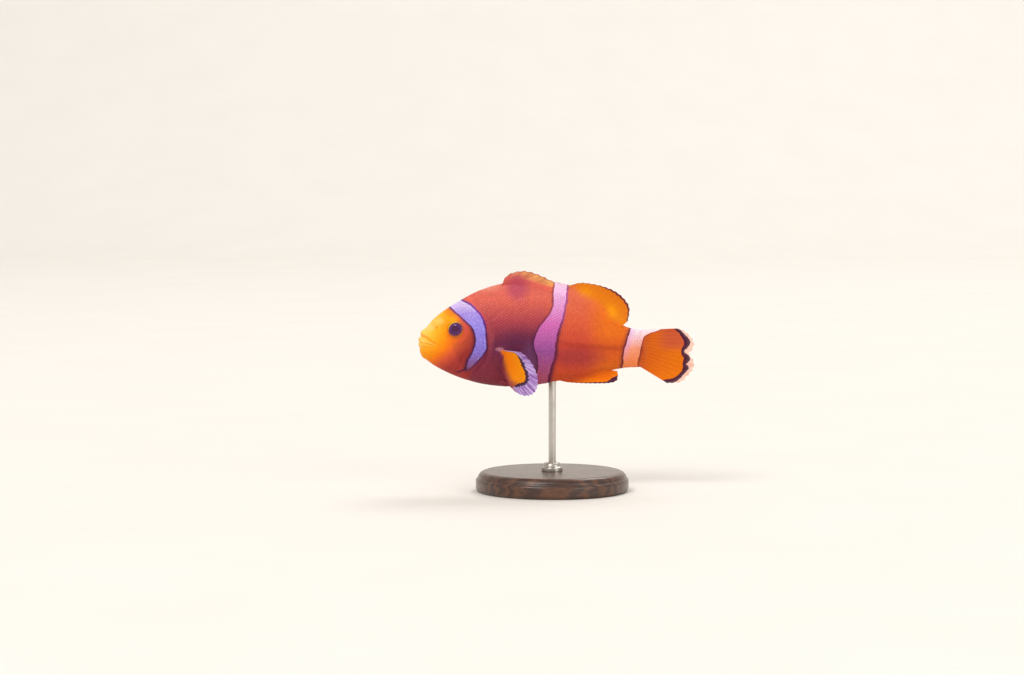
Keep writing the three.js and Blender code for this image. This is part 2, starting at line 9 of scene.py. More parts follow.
import bpy
import numpy as np
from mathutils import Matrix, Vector


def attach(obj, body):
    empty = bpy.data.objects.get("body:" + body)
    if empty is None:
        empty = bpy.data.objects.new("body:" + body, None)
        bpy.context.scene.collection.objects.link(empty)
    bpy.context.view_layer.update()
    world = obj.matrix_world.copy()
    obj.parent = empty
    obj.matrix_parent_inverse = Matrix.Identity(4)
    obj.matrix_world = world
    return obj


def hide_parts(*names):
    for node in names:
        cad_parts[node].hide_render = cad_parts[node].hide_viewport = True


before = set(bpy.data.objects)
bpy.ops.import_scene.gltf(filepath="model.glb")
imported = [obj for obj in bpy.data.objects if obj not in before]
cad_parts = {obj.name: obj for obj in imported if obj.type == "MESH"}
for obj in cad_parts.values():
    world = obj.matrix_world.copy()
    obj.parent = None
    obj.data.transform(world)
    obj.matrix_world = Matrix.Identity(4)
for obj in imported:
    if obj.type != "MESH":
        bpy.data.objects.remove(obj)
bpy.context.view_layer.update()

# ---------------------------------------------------------------- driving sizes, in millimetres

MM = 0.001
ROD_X, AXIS_HEIGHT = 40.0, 44.0
GAP = 0.3
BODY_END, NOSE_ROUND = 68.0, 1.3
BEND_FROM, BEND_REACH, BEND_SIDEWAYS = 38.0, 45.0, 2.2

# The body from the snout backwards: place, back line, belly line and half width.
STATIONS = np.array([
    (0, 3.7, -3.2, 1.8), (2, 5.2, -4.3, 2.9), (4.5, 8.0, -6.1, 4.0), (8, 10.7, -8.0, 5.2),
    (12, 13.3, -9.7, 6.2), (17, 16.0, -11.3, 7.0), (23, 18.1, -12.3, 7.4), (29, 18.8, -12.5, 7.3),
    (36, 17.5, -11.9, 6.8), (43, 15.3, -10.6, 5.9), (50, 12.1, -9.2, 4.8), (57, 8.2, -7.8, 3.6),
    (62, 5.6, -6.95, 2.75), (65, 4.85, -6.8, 2.0), (68, 4.7, -6.7, 0.85),
])
STEM_TAPER = (64.0, 4.1)  # where the stem starts to thin into the tail fin, and over what length

EYE_X, EYE_Z, EYE_RADIUS, EYE_DEPTH, EYE_SUNK = 11.05, 4.95, 2.8, 1.9, 0.85
MOUTH_FRONT, MOUTH_CORNER = (-0.2, 0.95), (4.4, 0.15)
# Heights over the mouth line of the upper lip's ridge and of the crease above it, by share of the way to
# the corner.
LIP_RIDGE = [(0, 0.75), (0.12, 0.95), (0.36, 1.3), (0.64, 0.85), (1.0, 0.2), (1.4, 0.05)]
LIP_CREASE = [(0, 1.7), (0.3, 2.15), (0.6, 1.75), (0.9, 1.1), (1.25, 0.4), (1.4, 0.3)]
NOSTRIL_X, NOSTRIL_Z = 5.3, 5.5
LOBE_X, LOBE_Z, LOBE_LONG, LOBE_DEEP, LOBE_HIGH = 24.2, -3.9, 1.5, 2.9, 0.9
COAT_DEPTH = 0.11  # the skin lies this far inside the solids where scales cover it
HEAD_END, FAR_OFF = 26.0, 9.0  # no face or gill edge lies behind the one, none acts at the other

# Curves in side view, from above the back to below the belly.
GILL_EDGE = [(13, 21), (14.6, 14), (17.6, 9.8), (20.2, 5.5), (20.9, 1.2), (20.1, -3.4), (17.4, -7.5),
             (13.8, -10.6), (12.2, -14)]
CHEEK_EDGE = [(17.6, 8.9), (15.4, 7.1), (14.8, 4.2), (13.7, 0.6), (13.2, -3.0), (11.7, -6.3), (9.6, -8.6),
              (8.8, -13)]
FIN_ROOT_EDGE = [(67.9, 9), (66.9, 1), (66.0, -5), (65.7, -10)]

# Fins in the middle plane: number of rays, where the roots begin and end, and the outline of the margin.
SPINY_DORSAL = dict(rays=11, start=25.0, end=42.3, lean=1.6, margin=[
    (25.7, 20.2), (27.2, 21.4), (29.4, 22.05), (31.9, 22.25), (34.7, 21.6), (37.6, 20.4), (40.8, 18.95),
    (46.1, 18.05)])
SOFT_DORSAL = dict(rays=15, start=42.0, end=61.2, lean=1.0, margin=[
    (45.85, 18.12), (48.6, 18.7), (52.0, 18.4), (55.4, 17.6), (58.8, 16.2), (61.6, 13.9), (63.2, 11.0),
    (62.7, 7.2)])
ANAL = dict(rays=14, start=42.2, end=57.6, lean=1.0, margin=[
    (44.6, -11.25), (47.4, -11.5), (50.4, -11.6), (54.0, -11.6), (57.4, -11.5), (59.4, -10.8), (59.8, -9.0),
    (59.6, -7.9)])
TAIL = dict(rays=15, margin=[
    (78.0, 4.9), (80.4, 3.6), (82.6, 1.0), (82.4, -1.2), (81.3, -2.9), (82.6, -5.0), (82.5, -7.4),
    (80.6, -9.8), (78.6, -11.4), (74.6, -11.6)])
TAIL_BLACK = [(74.6, 6.2), (77.9, 4.3), (79.2, 2.9), (80.2, 1.8), (80.55, 0.8), (80.3, -0.4), (79.35, -1.5),
              (79.4, -2.7), (80.3, -3.4), (80.55, -4.3), (80.15, -5.2), (79.8, -6.0), (80.2, -6.8),
              (80.0, -7.7), (79.2, -8.7), (77.9, -9.9), (76.3, -10.8), (73.8, -11.2), (71.0, -12.4)]
# Where the flesh of the soft dorsal's base gives way to its blade, and the brighter yellow patches on that
# blade: place and reach.
SOFT_FLESH = [(43.6, 19.2), (46.0, 17.8), (48.0, 15.8), (50.4, 14.4), (53.0, 13.4), (55.4, 12.0),
              (56.8, 10.0), (57.4, 7.8), (58.0, 5.0)]
SOFT_PATCHES = [(50.0, 16.6, 2.3), (57.7, 10.4, 1.9)]
PECTORAL_RAYS = 16
PECTORAL_BLACK = [(23.6, -1.5), (26.4, -1.9), (28.35, -2.2), (29.5, -2.95), (30.6, -4.4), (31.15, -5.8),
                  (31.4, -6.5), (32.1, -7.8), (32.4, -9.3), (32.3, -10.5), (31.7, -11.3), (30.6, -11.75),
                  (29.4, -12.1), (26.4, -13.4)]
# Where the flesh of the pectoral's root gives way to the orange of its blade.
PECTORAL_FLESH = [(23.6, 1.0), (24.2, -1.3), (25.2, -3.0), (25.8, -5.0), (26.4, -7.5), (27.3, -10.0),
                  (28.6, -13.5)]

# ---------------------------------------------------------------- markings

# The ranges along and up the fish that its markings are drawn in, and the heights that its tones span.
LENGTH_RANGE, DEPTH_RANGE, TONE_HEIGHTS = (-20.0, 90.0), (-16.0, 24.0), (-13.0, 20.0)

# Tones of the ground, as (share, colour): the face from the snout backwards, the flank from the belly up,
# before the middle band, behind it and at the stern. The face's pale lemon at the snout is partly a painted
# highlight.
FACE_TONES = [(0.0, 1.0, 0.81, 0.38), (0.12, 1.0, 0.74, 0.2), (0.29, 0.98, 0.61, 0.03),
              (0.44, 0.95, 0.48, 0.06), (0.6, 0.84, 0.34, 0.2), (0.8, 0.66, 0.22, 0.2)]
# Before the middle band the flank's dusky middle and belly are partly painted shade and its lighter pinkish
# top partly a painted highlight.
FRONT_TONES = [(0.0, 0.58, 0.23, 0.28), (0.2, 0.54, 0.2, 0.27), (0.42, 0.46, 0.175, 0.28),
               (0.62, 0.72, 0.28, 0.32), (0.82, 0.92, 0.42, 0.35), (1.0, 0.9, 0.44, 0.39)]
NEAR_TONES = [(0.0, 0.9, 0.36, 0.16), (0.2, 0.88, 0.32, 0.2), (0.42, 0.86, 0.31, 0.22),
              (0.62, 0.92, 0.39, 0.25), (0.85, 0.94, 0.46, 0.33), (1.0, 0.94, 0.48, 0.33)]
STERN_TONES = [(0.0, 0.98, 0.5, 0.05), (0.2, 0.94, 0.43, 0.1), (0.38, 0.9, 0.37, 0.13),
               (0.5, 0.97, 0.46, 0.1), (0.75, 0.98, 0.49, 0.12)]

# Soft spots on the ground: share, (x, z, reach along, reach upwards) and colour. They are the dark saddle,
# its own dusk deepened by painted shade, and its blue foot, painted shade tinted violet; the stain under the
# spiny dorsal; the flank behind the middle band, its lower red partly painted shade; the nape, a pale painted
# highlight; brow; rim of the eye, lightened above the eye by a painted highlight; cheek behind it; chin and
# two pale places on the snout, painted highlights.
SPOTS = [
    (0.85, (30.0, -0.5, 11.5, 8.5), (0.4, 0.16, 0.3)), (0.75, (33.8, -4.0, 4.5, 8.0), (0.46, 0.27, 0.45)),
    (0.75, (29.6, 17.6, 5.0, 6.0), (0.76, 0.3, 0.42)), (0.65, (46.8, -3.2, 12.5, 4.8), (0.66, 0.21, 0.25)),
    (0.75, (20.0, 18.6, 7.0, 3.4), (0.99, 0.63, 0.52)), (0.5, (10.0, 10.6, 4.4, 2.4), (0.84, 0.38, 0.12)),
    (0.75, (10.2, 7.6, 2.4, 1.9), (1.0, 0.66, 0.05)), (0.5, (13.7, 6.2, 2.4, 3.2), (0.77, 0.29, 0.33)),
    (0.4, (1.5, -2.0, 4.0, 3.6), (0.94, 0.5, 0.03)), (0.3, (5.9, 7.5, 2.4, 1.7), (1.0, 0.88, 0.6)),
    (0.35, (3.2, 5.6, 2.4, 1.9), (1.0, 0.9, 0.62))]
# The gill strip, and the pale pink along the upper edge of the pectoral's root: a painted highlight.
GILL_STRIP, PECTORAL_ROOT_HIGHLIGHT = (21.5, 3.2, 1.7, 7.0), (24.2, -0.75, 1.7, 0.9)

# Soft lines z(x): points, half width, softness and the places where they begin and end. They are the arched
# lateral line, the seam along the flank, the pale lip, paler of its own and lit by a painted highlight along
# its ridge, the fold over it, a darker orange that paints the shade in its crease, and the throat's dark
# line.
LATERAL_LINE = ([(21.5, 7.2), (24.3, 9.5), (27.4, 12.2), (31, 14.1), (34.8, 14.8), (38.4, 14.6), (43, 12.6),
                 (48, 9.9), (52, 7.9)], 0.06, 0.26, 20.5, 53.0)
SEAM_LINE = [(41.0, 1.3), (48.0, 0.1), (55.0, -0.5), (63.0, -1.0)], 0.1, 1.3, 41.0, 63.0
LIP_PALE_AND_HIGHLIGHT_LINE = [(0.0, 1.9), (1.2, 1.5), (2.1, 1.2), (3.4, 0.7), (6.0, -0.3)], 0.1, 0.4, -1.5, 6.0
FOLD_SHADE_LINE = [(0.5, 3.0), (1.7, 2.7), (3.1, 1.75), (4.1, 1.2), (8.0, -0.6)], 0.12, 0.5, -1.0, 8.0
THROAT_LINE = ([(9.8, -8.1), (11.1, -7.9), (12.6, -7.5), (13.9, -6.9), (14.8, -6.0), (19.0, 0.0)],
               0.16, 0.3, 9.8, 19.0)

# The three white bands: their edges as (z, x) from the belly up, the heights between which the white fades
# out below, its tones by height, white on top and violet to rose lower down as painted shade, and the shares
# of darker and lighter speckles in it. Along each edge runs a dark line: its thickness low and high on the
# body, softness, the height where it starts, its colour low and high and its share; and a painted shadow of
# the line's colour beside it on the flank: how far it reaches, its share low and high.
BANDS = {
    "head": dict(
        front=[(-16, 13.8), (-8, 14.2), (-6.1, 14.5), (-3.4, 15.35), (-1, 16.55), (1.9, 17.2), (5.1, 16.45),
               (7, 14.75), (8.9, 12.75), (11.3, 9.7), (14, 6.4), (24, -1.6)],
        rear=[(-16, 14.2), (-8, 14.8), (-6.6, 15.6), (-4, 17.8), (-1.8, 19.65), (3, 20.0), (6.75, 19.4),
              (9.7, 18.0), (12.6, 14.55), (13.7, 12.4), (16, 9.0), (24, 1.0)],
        lines=dict(
            front=((0.3, 0.5), 0.35, -7.4, (0.27, 0.1, 0.24), (0.4, 0.17, 0.42), 0.88, 1.5, (0.8, 0.15)),
            rear=((0.32, 0.42), 0.25, -5.4, (0.3, 0.12, 0.34), (0.36, 0.18, 0.62), 0.88, 0.9, (0.3, 0.3))),
        tones=[(0.15, 0.6, 0.32, 0.44), (0.25, 0.55, 0.37, 0.6), (0.34, 0.54, 0.44, 0.83),
               (0.58, 0.63, 0.57, 0.95), (0.69, 0.7, 0.59, 0.93), (0.76, 0.88, 0.78, 0.96),
               (0.84, 0.98, 0.9, 0.98)],
        fade=(-7.8, -5.4), speckles=(0.34, 0.26)),
    "middle": dict(
        front=[(-16, 35.3), (-8.6, 35.4), (-4.9, 35.8), (-2.6, 35.2), (0, 34.55), (2.6, 34.8), (5.2, 35.85),
               (7.5, 37.6), (10.6, 39.8), (15.2, 40.4), (17.8, 40.5), (24, 40.6)],
        rear=[(-16, 38.0), (-9.8, 38.75), (-7, 39.2), (-3.1, 40.4), (2.6, 41.1), (8.5, 42.9), (13.7, 43.95),
              (17.6, 44.4), (24, 44.7)],
        lines=dict(
            front=((0.28, 0.28), 0.5, -30, (0.3, 0.12, 0.27), (0.42, 0.16, 0.3), 0.7, 1.8, (0.45, 0.12)),
            rear=((0.7, 0.36), 0.55, -30, (0.4, 0.13, 0.26), (0.58, 0.29, 0.62), 0.85, 2.2, (0.5, 0.05))),
        tones=[(0.1, 0.74, 0.32, 0.42), (0.35, 0.64, 0.31, 0.6), (0.6, 0.87, 0.43, 0.72),
               (0.8, 0.94, 0.65, 0.86), (0.95, 0.98, 0.85, 0.95), (1.0, 1.0, 0.94, 0.99)],
        fade=(-30, -28), speckles=(0.1, 0.06)),
    "tail": dict(
        front=[(-16, 61.0), (-7.1, 61.0), (-4.9, 61.2), (-2.4, 61.5), (0.87, 62.2), (3.2, 63.0), (4.95, 63.5),
               (8, 64.0), (24, 64.0)],
        rear=[(-16, 66.6), (-7.6, 66.2), (-6.6, 65.75), (-3.6, 66.0), (0, 66.75), (2.3, 67.5), (3.2, 68.6),
              (4.0, 70.8), (4.7, 72.6), (6, 73.5), (24, 74)],
        lines=dict(
            front=((0.36, 0.28), 0.45, -30, (0.38, 0.12, 0.21), (0.6, 0.28, 0.48), 0.85, 2.0, (0.5, 0.2)),
            rear=((0.1, 0.1), 0.6, -30, (0.5, 0.17, 0.17), (0.68, 0.33, 0.2), 0.35, 1.8, (0.6, 0.35))),
        tones=[(0.15, 1.0, 0.54, 0.24), (0.24, 1.0, 0.54, 0.28), (0.36, 1.0, 0.61, 0.44),
               (0.47, 1.0, 0.81, 0.83), (0.55, 1.0, 0.95, 0.99)],
        fade=(-30, -28), speckles=(0.04, 0.1)),
}

# ---------------------------------------------------------------- curves and distances


def row_frame(points):
    """Fish millimetres to row metres: the tail swings aside with the square of the distance behind its
    start, then the fish is moved to its place over the stand."""
    x, y, z = np.moveaxis(np.asarray(points, float), -1, 0)
    swing = BEND_SIDEWAYS * (np.maximum(x - BEND_FROM, 0) / BEND_REACH) ** 2
    return np.stack([x - ROD_X, y + swing, z + AXIS_HEIGHT], -1) * MM


def smooth_step(low, high, value):
    """0 below low, 1 above high, and the cubic 3t^2 - 2t^3 between."""
    t = np.clip((value - low) / (high - low), 0, 1)
    return t * t * (3 - 2 * t)


def bell(value, width):
    """A bell of height 1: exp of minus the square of value over width."""
    return np.exp(-((value / width) ** 2))


def unit(v):
    """v over its length, along the last axis."""
    return v / np.maximum(np.linalg.norm(v, axis=-1, keepdims=True), 1e-12)


def curve_through(xs, ys):
    """A smooth curve y(x) through points: cubic pieces whose slope at each point is that of the line
    between its neighbours."""
    xs, ys = np.asarray(xs, float), np.asarray(ys, float)
    before, after = np.maximum(np.arange(len(xs)) - 1, 0), np.minimum(np.arange(len(xs)) + 1, len(xs) - 1)
    slope = (ys[after] - ys[before]) / (xs[after] - xs[before])

    def at(x):
        i = np.clip(np.searchsorted(xs, x) - 1, 0, len(xs) - 2)
        w = xs[i + 1] - xs[i]
        t = np.clip((x - xs[i]) / w, 0, 1)
        bent = w * (slope[i] * t * (1 - t) ** 2 - slope[i + 1] * t * t * (1 - t))
        return ys[i] + (ys[i + 1] - ys[i]) * t * t * (3 - 2 * t) + bent

    return at


def outline(points, samples=400):
    """A Catmull-Rom curve through side-view points, sampled at even steps of its length."""
    p = np.asarray(points, float)
    p = np.vstack([p[0], p, p[-1]])
    pieces = len(points) - 1
    t = np.linspace(0, pieces, 24 * pieces + 1)
    i = np.minimum(t.astype(int), pieces - 1)
    f = (t - i)[:, None]
    a, b, c, d = p[i], p[i + 1], p[i + 2], p[i + 3]
    s, e = (c - a) / 2, (d - b) / 2
    dense = (2 * b - 2 * c + s + e) * f**3 + (-3 * b + 3 * c - 2 * s - e) * f**2 + s * f + b
    run = np.concatenate([[0], np.cumsum(np.linalg.norm(np.diff(dense, axis=0), axis=1))])
    even = np.linspace(0, run[-1], samples)
    return np.stack([np.interp(even, run, dense[:, k]) for k in (0, 1)], -1)


def distance_behind(curve, x, z):
    """Signed distance in side view from points to a sampled curve that runs downwards: positive behind
    it, to its tail side. Each point takes the nearest piece of the curve."""
    a, run = curve[:-1], np.diff(curve, axis=0)
    q = np.stack([np.ravel(x), np.ravel(z)], -1)
    nearest = np.empty(len(q))
    for part in np.array_split(np.arange(len(q)), max(len(q) // 4000, 1)):
        rel = q[part, None, :] - a[None]
        t = np.clip((rel * run).sum(-1) / (run * run).sum(-1), 0, 1)
        off = rel - t[..., None] * run
        gap = np.hypot(off[..., 0], off[..., 1])
        k = gap.argmin(1)
        pick = np.arange(len(part))
        side = np.sign(run[k, 0] * rel[pick, k, 1] - run[k, 1] * rel[pick, k, 0])
        nearest[part] = gap[pick, k] * side
    return nearest.reshape(np.shape(x))


# ---------------------------------------------------------------- the body's surface

back_line, belly_line, half_width = (curve_through(STATIONS[:, 0], STATIONS[:, k]) for k in (1, 2, 3))
lip_ridge, lip_crease = curve_through(*zip(*LIP_RIDGE)), curve_through(*zip(*LIP_CREASE))
GILL_CURVE, CHEEK_CURVE = outline(GILL_EDGE), outline(CHEEK_EDGE)


def plain_body(x, angle):
    """The plain body: at place x a section of two half ellipses that meet at mid-depth, slightly pinched
    above. Angle 0 is the back and a quarter turn the left side. The snout's cap is a quarter round, and
    the stem thins to nothing into the tail fin along a quarter ellipse."""
    nose = np.sqrt(1 - (1 - np.clip(x / NOSE_ROUND, 0, 1)) ** 2)
    back, belly = back_line(x), belly_line(x)
    rise = nose * (back - belly) / 2
    thin = np.sqrt(1 - np.clip((x - STEM_TAPER[0]) / STEM_TAPER[1], 0, 1) ** 2)
    half = np.maximum(nose * half_width(x) * thin, 0.05)
    pinch = np.where(np.cos(angle) > 0, 1 + 0.18 * np.minimum(x / 20, 1), 0.95)
    across = np.sign(np.sin(angle)) * np.abs(np.sin(angle)) ** pinch
    return np.stack(np.broadcast_arrays(x, -half * across, (back + belly) / 2 + rise * np.cos(angle)), -1)


def outwards(x, angle):
    """The body's unit normal, from the cross product of small steps along and around it."""
    step = 0.02
    x = np.maximum(x, step)
    along = plain_body(x + step, angle) - plain_body(x - step, angle)
    around = plain_body(x, angle + step) - plain_body(x, angle - step)
    return unit(np.cross(around, along))


def angle_at(x, z):
    """The angle at which the left side of the body passes height z."""
    middle, rise = (back_line(x) + belly_line(x)) / 2, (back_line(x) - belly_line(x)) / 2
    return np.arccos(np.clip((z - middle) / rise, -1, 1))


eye_angle = angle_at(EYE_X, EYE_Z)
EYE_SKIN, EYE_OUT = plain_body(EYE_X, eye_angle), outwards(EYE_X, eye_angle)
NOSTRIL = plain_body(NOSTRIL_X, angle_at(NOSTRIL_X, NOSTRIL_Z))


def left_side(point):
    """The point, or its mirror image on the fish's left."""
    return point * [1, -1, 1] * np.where(point[..., 1:2] > 0, [1, 1, 1], [1, -1, 1])


def eye_distance(point):
    """Distance of a body point from the axis of the eye on its own side. More than 3 mm under the eye it
    counts as far off."""
    rel = left_side(point) - EYE_SKIN
    deep = rel @ EYE_OUT
    return np.linalg.norm(rel - deep[..., None] * EYE_OUT, axis=-1) + FAR_OFF * (deep < -3)


def scaled_share(point):
    """1 where scales grow and 0 on the bare snout, lips, jaw and rim of the eye, with soft borders."""
    x, z = point[..., 0], point[..., 2]
    front = 8.2 + 0.45 * np.abs(z - 1.0) - 3.4 * smooth_step(7, 12, z)
    return smooth_step(0, 2.6, x - front) * smooth_step(3.4, 4.4, eye_distance(point))


def relief(point, angle, gill, cheek):
    """How far the skin stands out from the plain body, in millimetres: a sum of bells and steps.

    Lips: two rolls beside the mouth line that thin towards its corners, a cleft between them, and above
    them a crease and the fold of the upper jaw. Eye: a bowl for the ball inside a raised rim. Gill cover
    and cheek: a step down behind each edge that fades forwards. Nostril: a pit in a small rim. Flank: the
    lobe that carries the pectoral fin."""
    x, z = point[..., 0], point[..., 2]
    flank = np.abs(np.sin(angle))
    along = np.clip((x - MOUTH_FRONT[0]) / (MOUTH_CORNER[0] - MOUTH_FRONT[0]), 0, 1.4)
    above = z - (MOUTH_FRONT[1] + (MOUTH_CORNER[1] - MOUTH_FRONT[1]) * along)
    narrow = 1 - 0.72 * np.minimum(along, 1)
    mouth = 1 - smooth_step(0.92, 1.12, along)
    beyond = 1 - smooth_step(0.95, 1.35, along)
    ridge, crease = lip_ridge(along), lip_crease(along)
    lips = 0.36 * bell(above - ridge, 0.5 * narrow + 0.12) + 0.2 * bell(above + 0.7 * narrow, 0.6 * narrow)
    folds = -0.3 * bell(above - crease, 0.36) + 0.26 * bell(above - crease - 0.85, 0.7)
    folds -= 0.1 * bell(above + 1.8 * narrow, 0.5)
    face = (0.35 + 0.65 * narrow) * (lips + folds) * beyond - 0.3 * bell(above, 0.17) * mouth

    r = eye_distance(point)
    eye = -1.75 * (1 - smooth_step(2.15, 2.5, r)) + 0.24 * bell(r - 2.72, 0.34) - 0.1 * bell(r - 3.5, 0.4)

    pit = np.linalg.norm(left_side(point) - NOSTRIL, axis=-1)
    nose = -0.55 * bell(pit, 0.3) + 0.16 * bell(pit - 0.55, 0.2)

    ahead, before = -gill, -cheek
    cover = np.where(ahead > 0, 0.34 * np.exp(-np.maximum(ahead, 0) / 3.2), 0)
    cover *= smooth_step(-0.02, 0.3, ahead)
    cover -= np.where(ahead <= 0.3, 0.22 * np.exp(-np.abs(ahead - 0.3) / 0.8), 0)
    cover *= 1 - smooth_step(8.5, 11.5, z)
    plate = 0.17 * np.exp(-np.maximum(before, 0) / 2.2) * smooth_step(-0.02, 0.35, before)
    plate -= 0.12 * bell(before + 0.1, 0.3)
    plate *= (1 - smooth_step(6, 8.5, z)) * smooth_step(3.3, 4.2, r)

    lobe = LOBE_HIGH * bell(x - LOBE_X, LOBE_LONG) * bell(z - LOBE_Z, LOBE_DEEP) * flank
    return face + eye + nose + smooth_step(0.1, 0.3, flank) * (cover + plate) + lobe


def body_surface(x, angle, lift=0.0):
    """The living surface: the plain body moved along its normal by its relief, less the coat's depth
    where scales grow, plus a lift."""
    x, angle = np.broadcast_arrays(np.asarray(x, float), np.asarray(angle, float))
    point, out = plain_body(x, angle), outwards(x, angle)
    near_head = point[..., 0] < HEAD_END
    gill, cheek = np.full(x.shape, FAR_OFF), np.full(x.shape, FAR_OFF)
    for distance, curve in ((gill, GILL_CURVE), (cheek, CHEEK_CURVE)):
        distance[near_head] = distance_behind(curve, point[near_head][:, 0], point[near_head][:, 2])
    height = relief(point, angle, gill, cheek) - COAT_DEPTH * scaled_share(point) + lift
    return point + out * height[..., None]


# ---------------------------------------------------------------- meshes

def piece(name, points, quads, triangles, material, stands_for, finish, measures=None):
    """A smooth-shaded mesh object from arrays, turned outwards if its volume comes out negative, riding
    on the body and standing for its solids. measures are named values at the points."""
    points = np.ascontiguousarray(points, float).reshape(-1, 3)
    quads = np.asarray(quads, int).reshape(-1, 4)
    triangles = np.asarray(triangles, int).reshape(-1, 3)
    fans = np.vstack([quads[:, [0, 1, 2]], quads[:, [0, 2, 3]], triangles])
    a, b, c = (points[fans[:, k]] - points.mean(0) for k in range(3))
    if (a * np.cross(b, c)).sum() < 0:
        quads, triangles = quads[:, ::-1], triangles[:, ::-1]
    corners = np.concatenate([quads.ravel(), triangles.ravel()])
    starts = np.concatenate([np.arange(len(quads)) * 4, quads.size + np.arange(len(triangles)) * 3])
    mesh = bpy.data.meshes.new(name)
    for data, count, key, values in (
            (mesh.vertices, len(points), "co", points), (mesh.loops, len(corners), "vertex_index", corners),
            (mesh.polygons, len(starts), "loop_start", starts)):
        data.add(count)
        data.foreach_set(key, values.ravel().astype(np.float32 if key == "co" else np.int32))
    mesh.polygons.foreach_set("use_smooth", np.ones(len(starts), bool))
    mesh.update(calc_edges=True)
    for key, values in (measures or {}).items():
        layer = mesh.attributes.new(key, "FLOAT", "POINT")
        layer.data.foreach_set("value", np.broadcast_to(values, len(points)).astype(np.float32).ravel())
    mesh.materials.append(material)
    made = bpy.data.objects.new(name, mesh)
    bpy.context.scene.collection.objects.link(made)
    if stands_for is not None:
        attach(made, "root")
        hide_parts(*stands_for)
    return made


def grid_faces(rows, columns, around=False):
    """The four corners of each cell of a grid of points, joined round the columns if asked."""
    last = columns if around else columns - 1
    r, c = np.meshgrid(np.arange(rows - 1), np.arange(last), indexing="ij")
    a, b = r * columns + c, r * columns + (c + 1) % columns
    return np.stack([a, b, b + columns, a + columns], -1).reshape(-1, 4)


def tube(rings):
    """Points, quads and triangles of a closed tube through rings, each end a fan to its middle."""
    rows, columns = rings.shape[:2]
    points = np.vstack([rings.reshape(-1, 3), rings[0].mean(0), rings[-1].mean(0)])
    k = np.arange(columns)
    after = (k + 1) % columns
    last = (rows - 1) * columns
    near = np.stack([after, k, np.full(columns, rows * columns)], -1)
    far = np.stack([last + k, last + after, np.full(columns, rows * columns + 1)], -1)
    return points, grid_faces(rows, columns, True), np.vstack([near, far])


def slab(front, back):
    """Points, quads and no triangles of a closed slab between two grids of points that share no edge."""
    rows, columns = front.shape[:2]
    other = rows * columns
    cells = grid_faces(rows, columns)
    rim = np.concatenate([
        np.arange(columns), np.arange(1, rows) * columns + columns - 1,
        (rows - 1) * columns + np.arange(columns - 2, -1, -1), np.arange(rows - 2, 0, -1) * columns])
    after = np.roll(rim, -1)
    edge = np.stack([after, rim, rim + other, after + other], -1)
    points = np.concatenate([front.reshape(-1, 3), back.reshape(-1, 3)])
    return points, np.vstack([cells, cells[:, ::-1] + other, edge]), []


# ---------------------------------------------------------------- shader trees

def shade(*colour):
    """A colour as the eye sees it, in linear light."""
    return tuple(c / 12.92 if c <= 0.04045 else ((c + 0.055) / 1.055) ** 2.4 for c in colour)


def dimmed(colour, share):
    return tuple(c * share for c in colour)


class Wire:
    """A value that flows through a shader tree. Arithmetic on it adds Math nodes."""

    def __init__(self, make, socket):
        self.make, self.socket = make, socket

    def __add__(self, other):
        return self.make.math("ADD", self, other)

    def __sub__(self, other):
        return self.make.math("SUBTRACT", self, other)

    def __rsub__(self, other):
        return self.make.math("SUBTRACT", other, self)

    def __mul__(self, other):
        return self.make.math("MULTIPLY", self, other)

    def __truediv__(self, other):
        return self.make.math("DIVIDE", self, other)

    def by(self, operation, *others):
        return self.make.math(operation, self, *others)

    def span(self, low, high, start=0.0, end=1.0, way="LINEAR"):
        """Carried evenly from one range to another and held at its ends."""
        inputs = {"Value": self, "From Min": low, "From Max": high, "To Min": start, "To Max": end}
        return self.make.wire("MapRange", 0, inputs, interpolation_type=way)

    def step(self, *ends):
        """Carried from one range to another along a smooth step."""
        return self.span(*ends, way="SMOOTHSTEP")


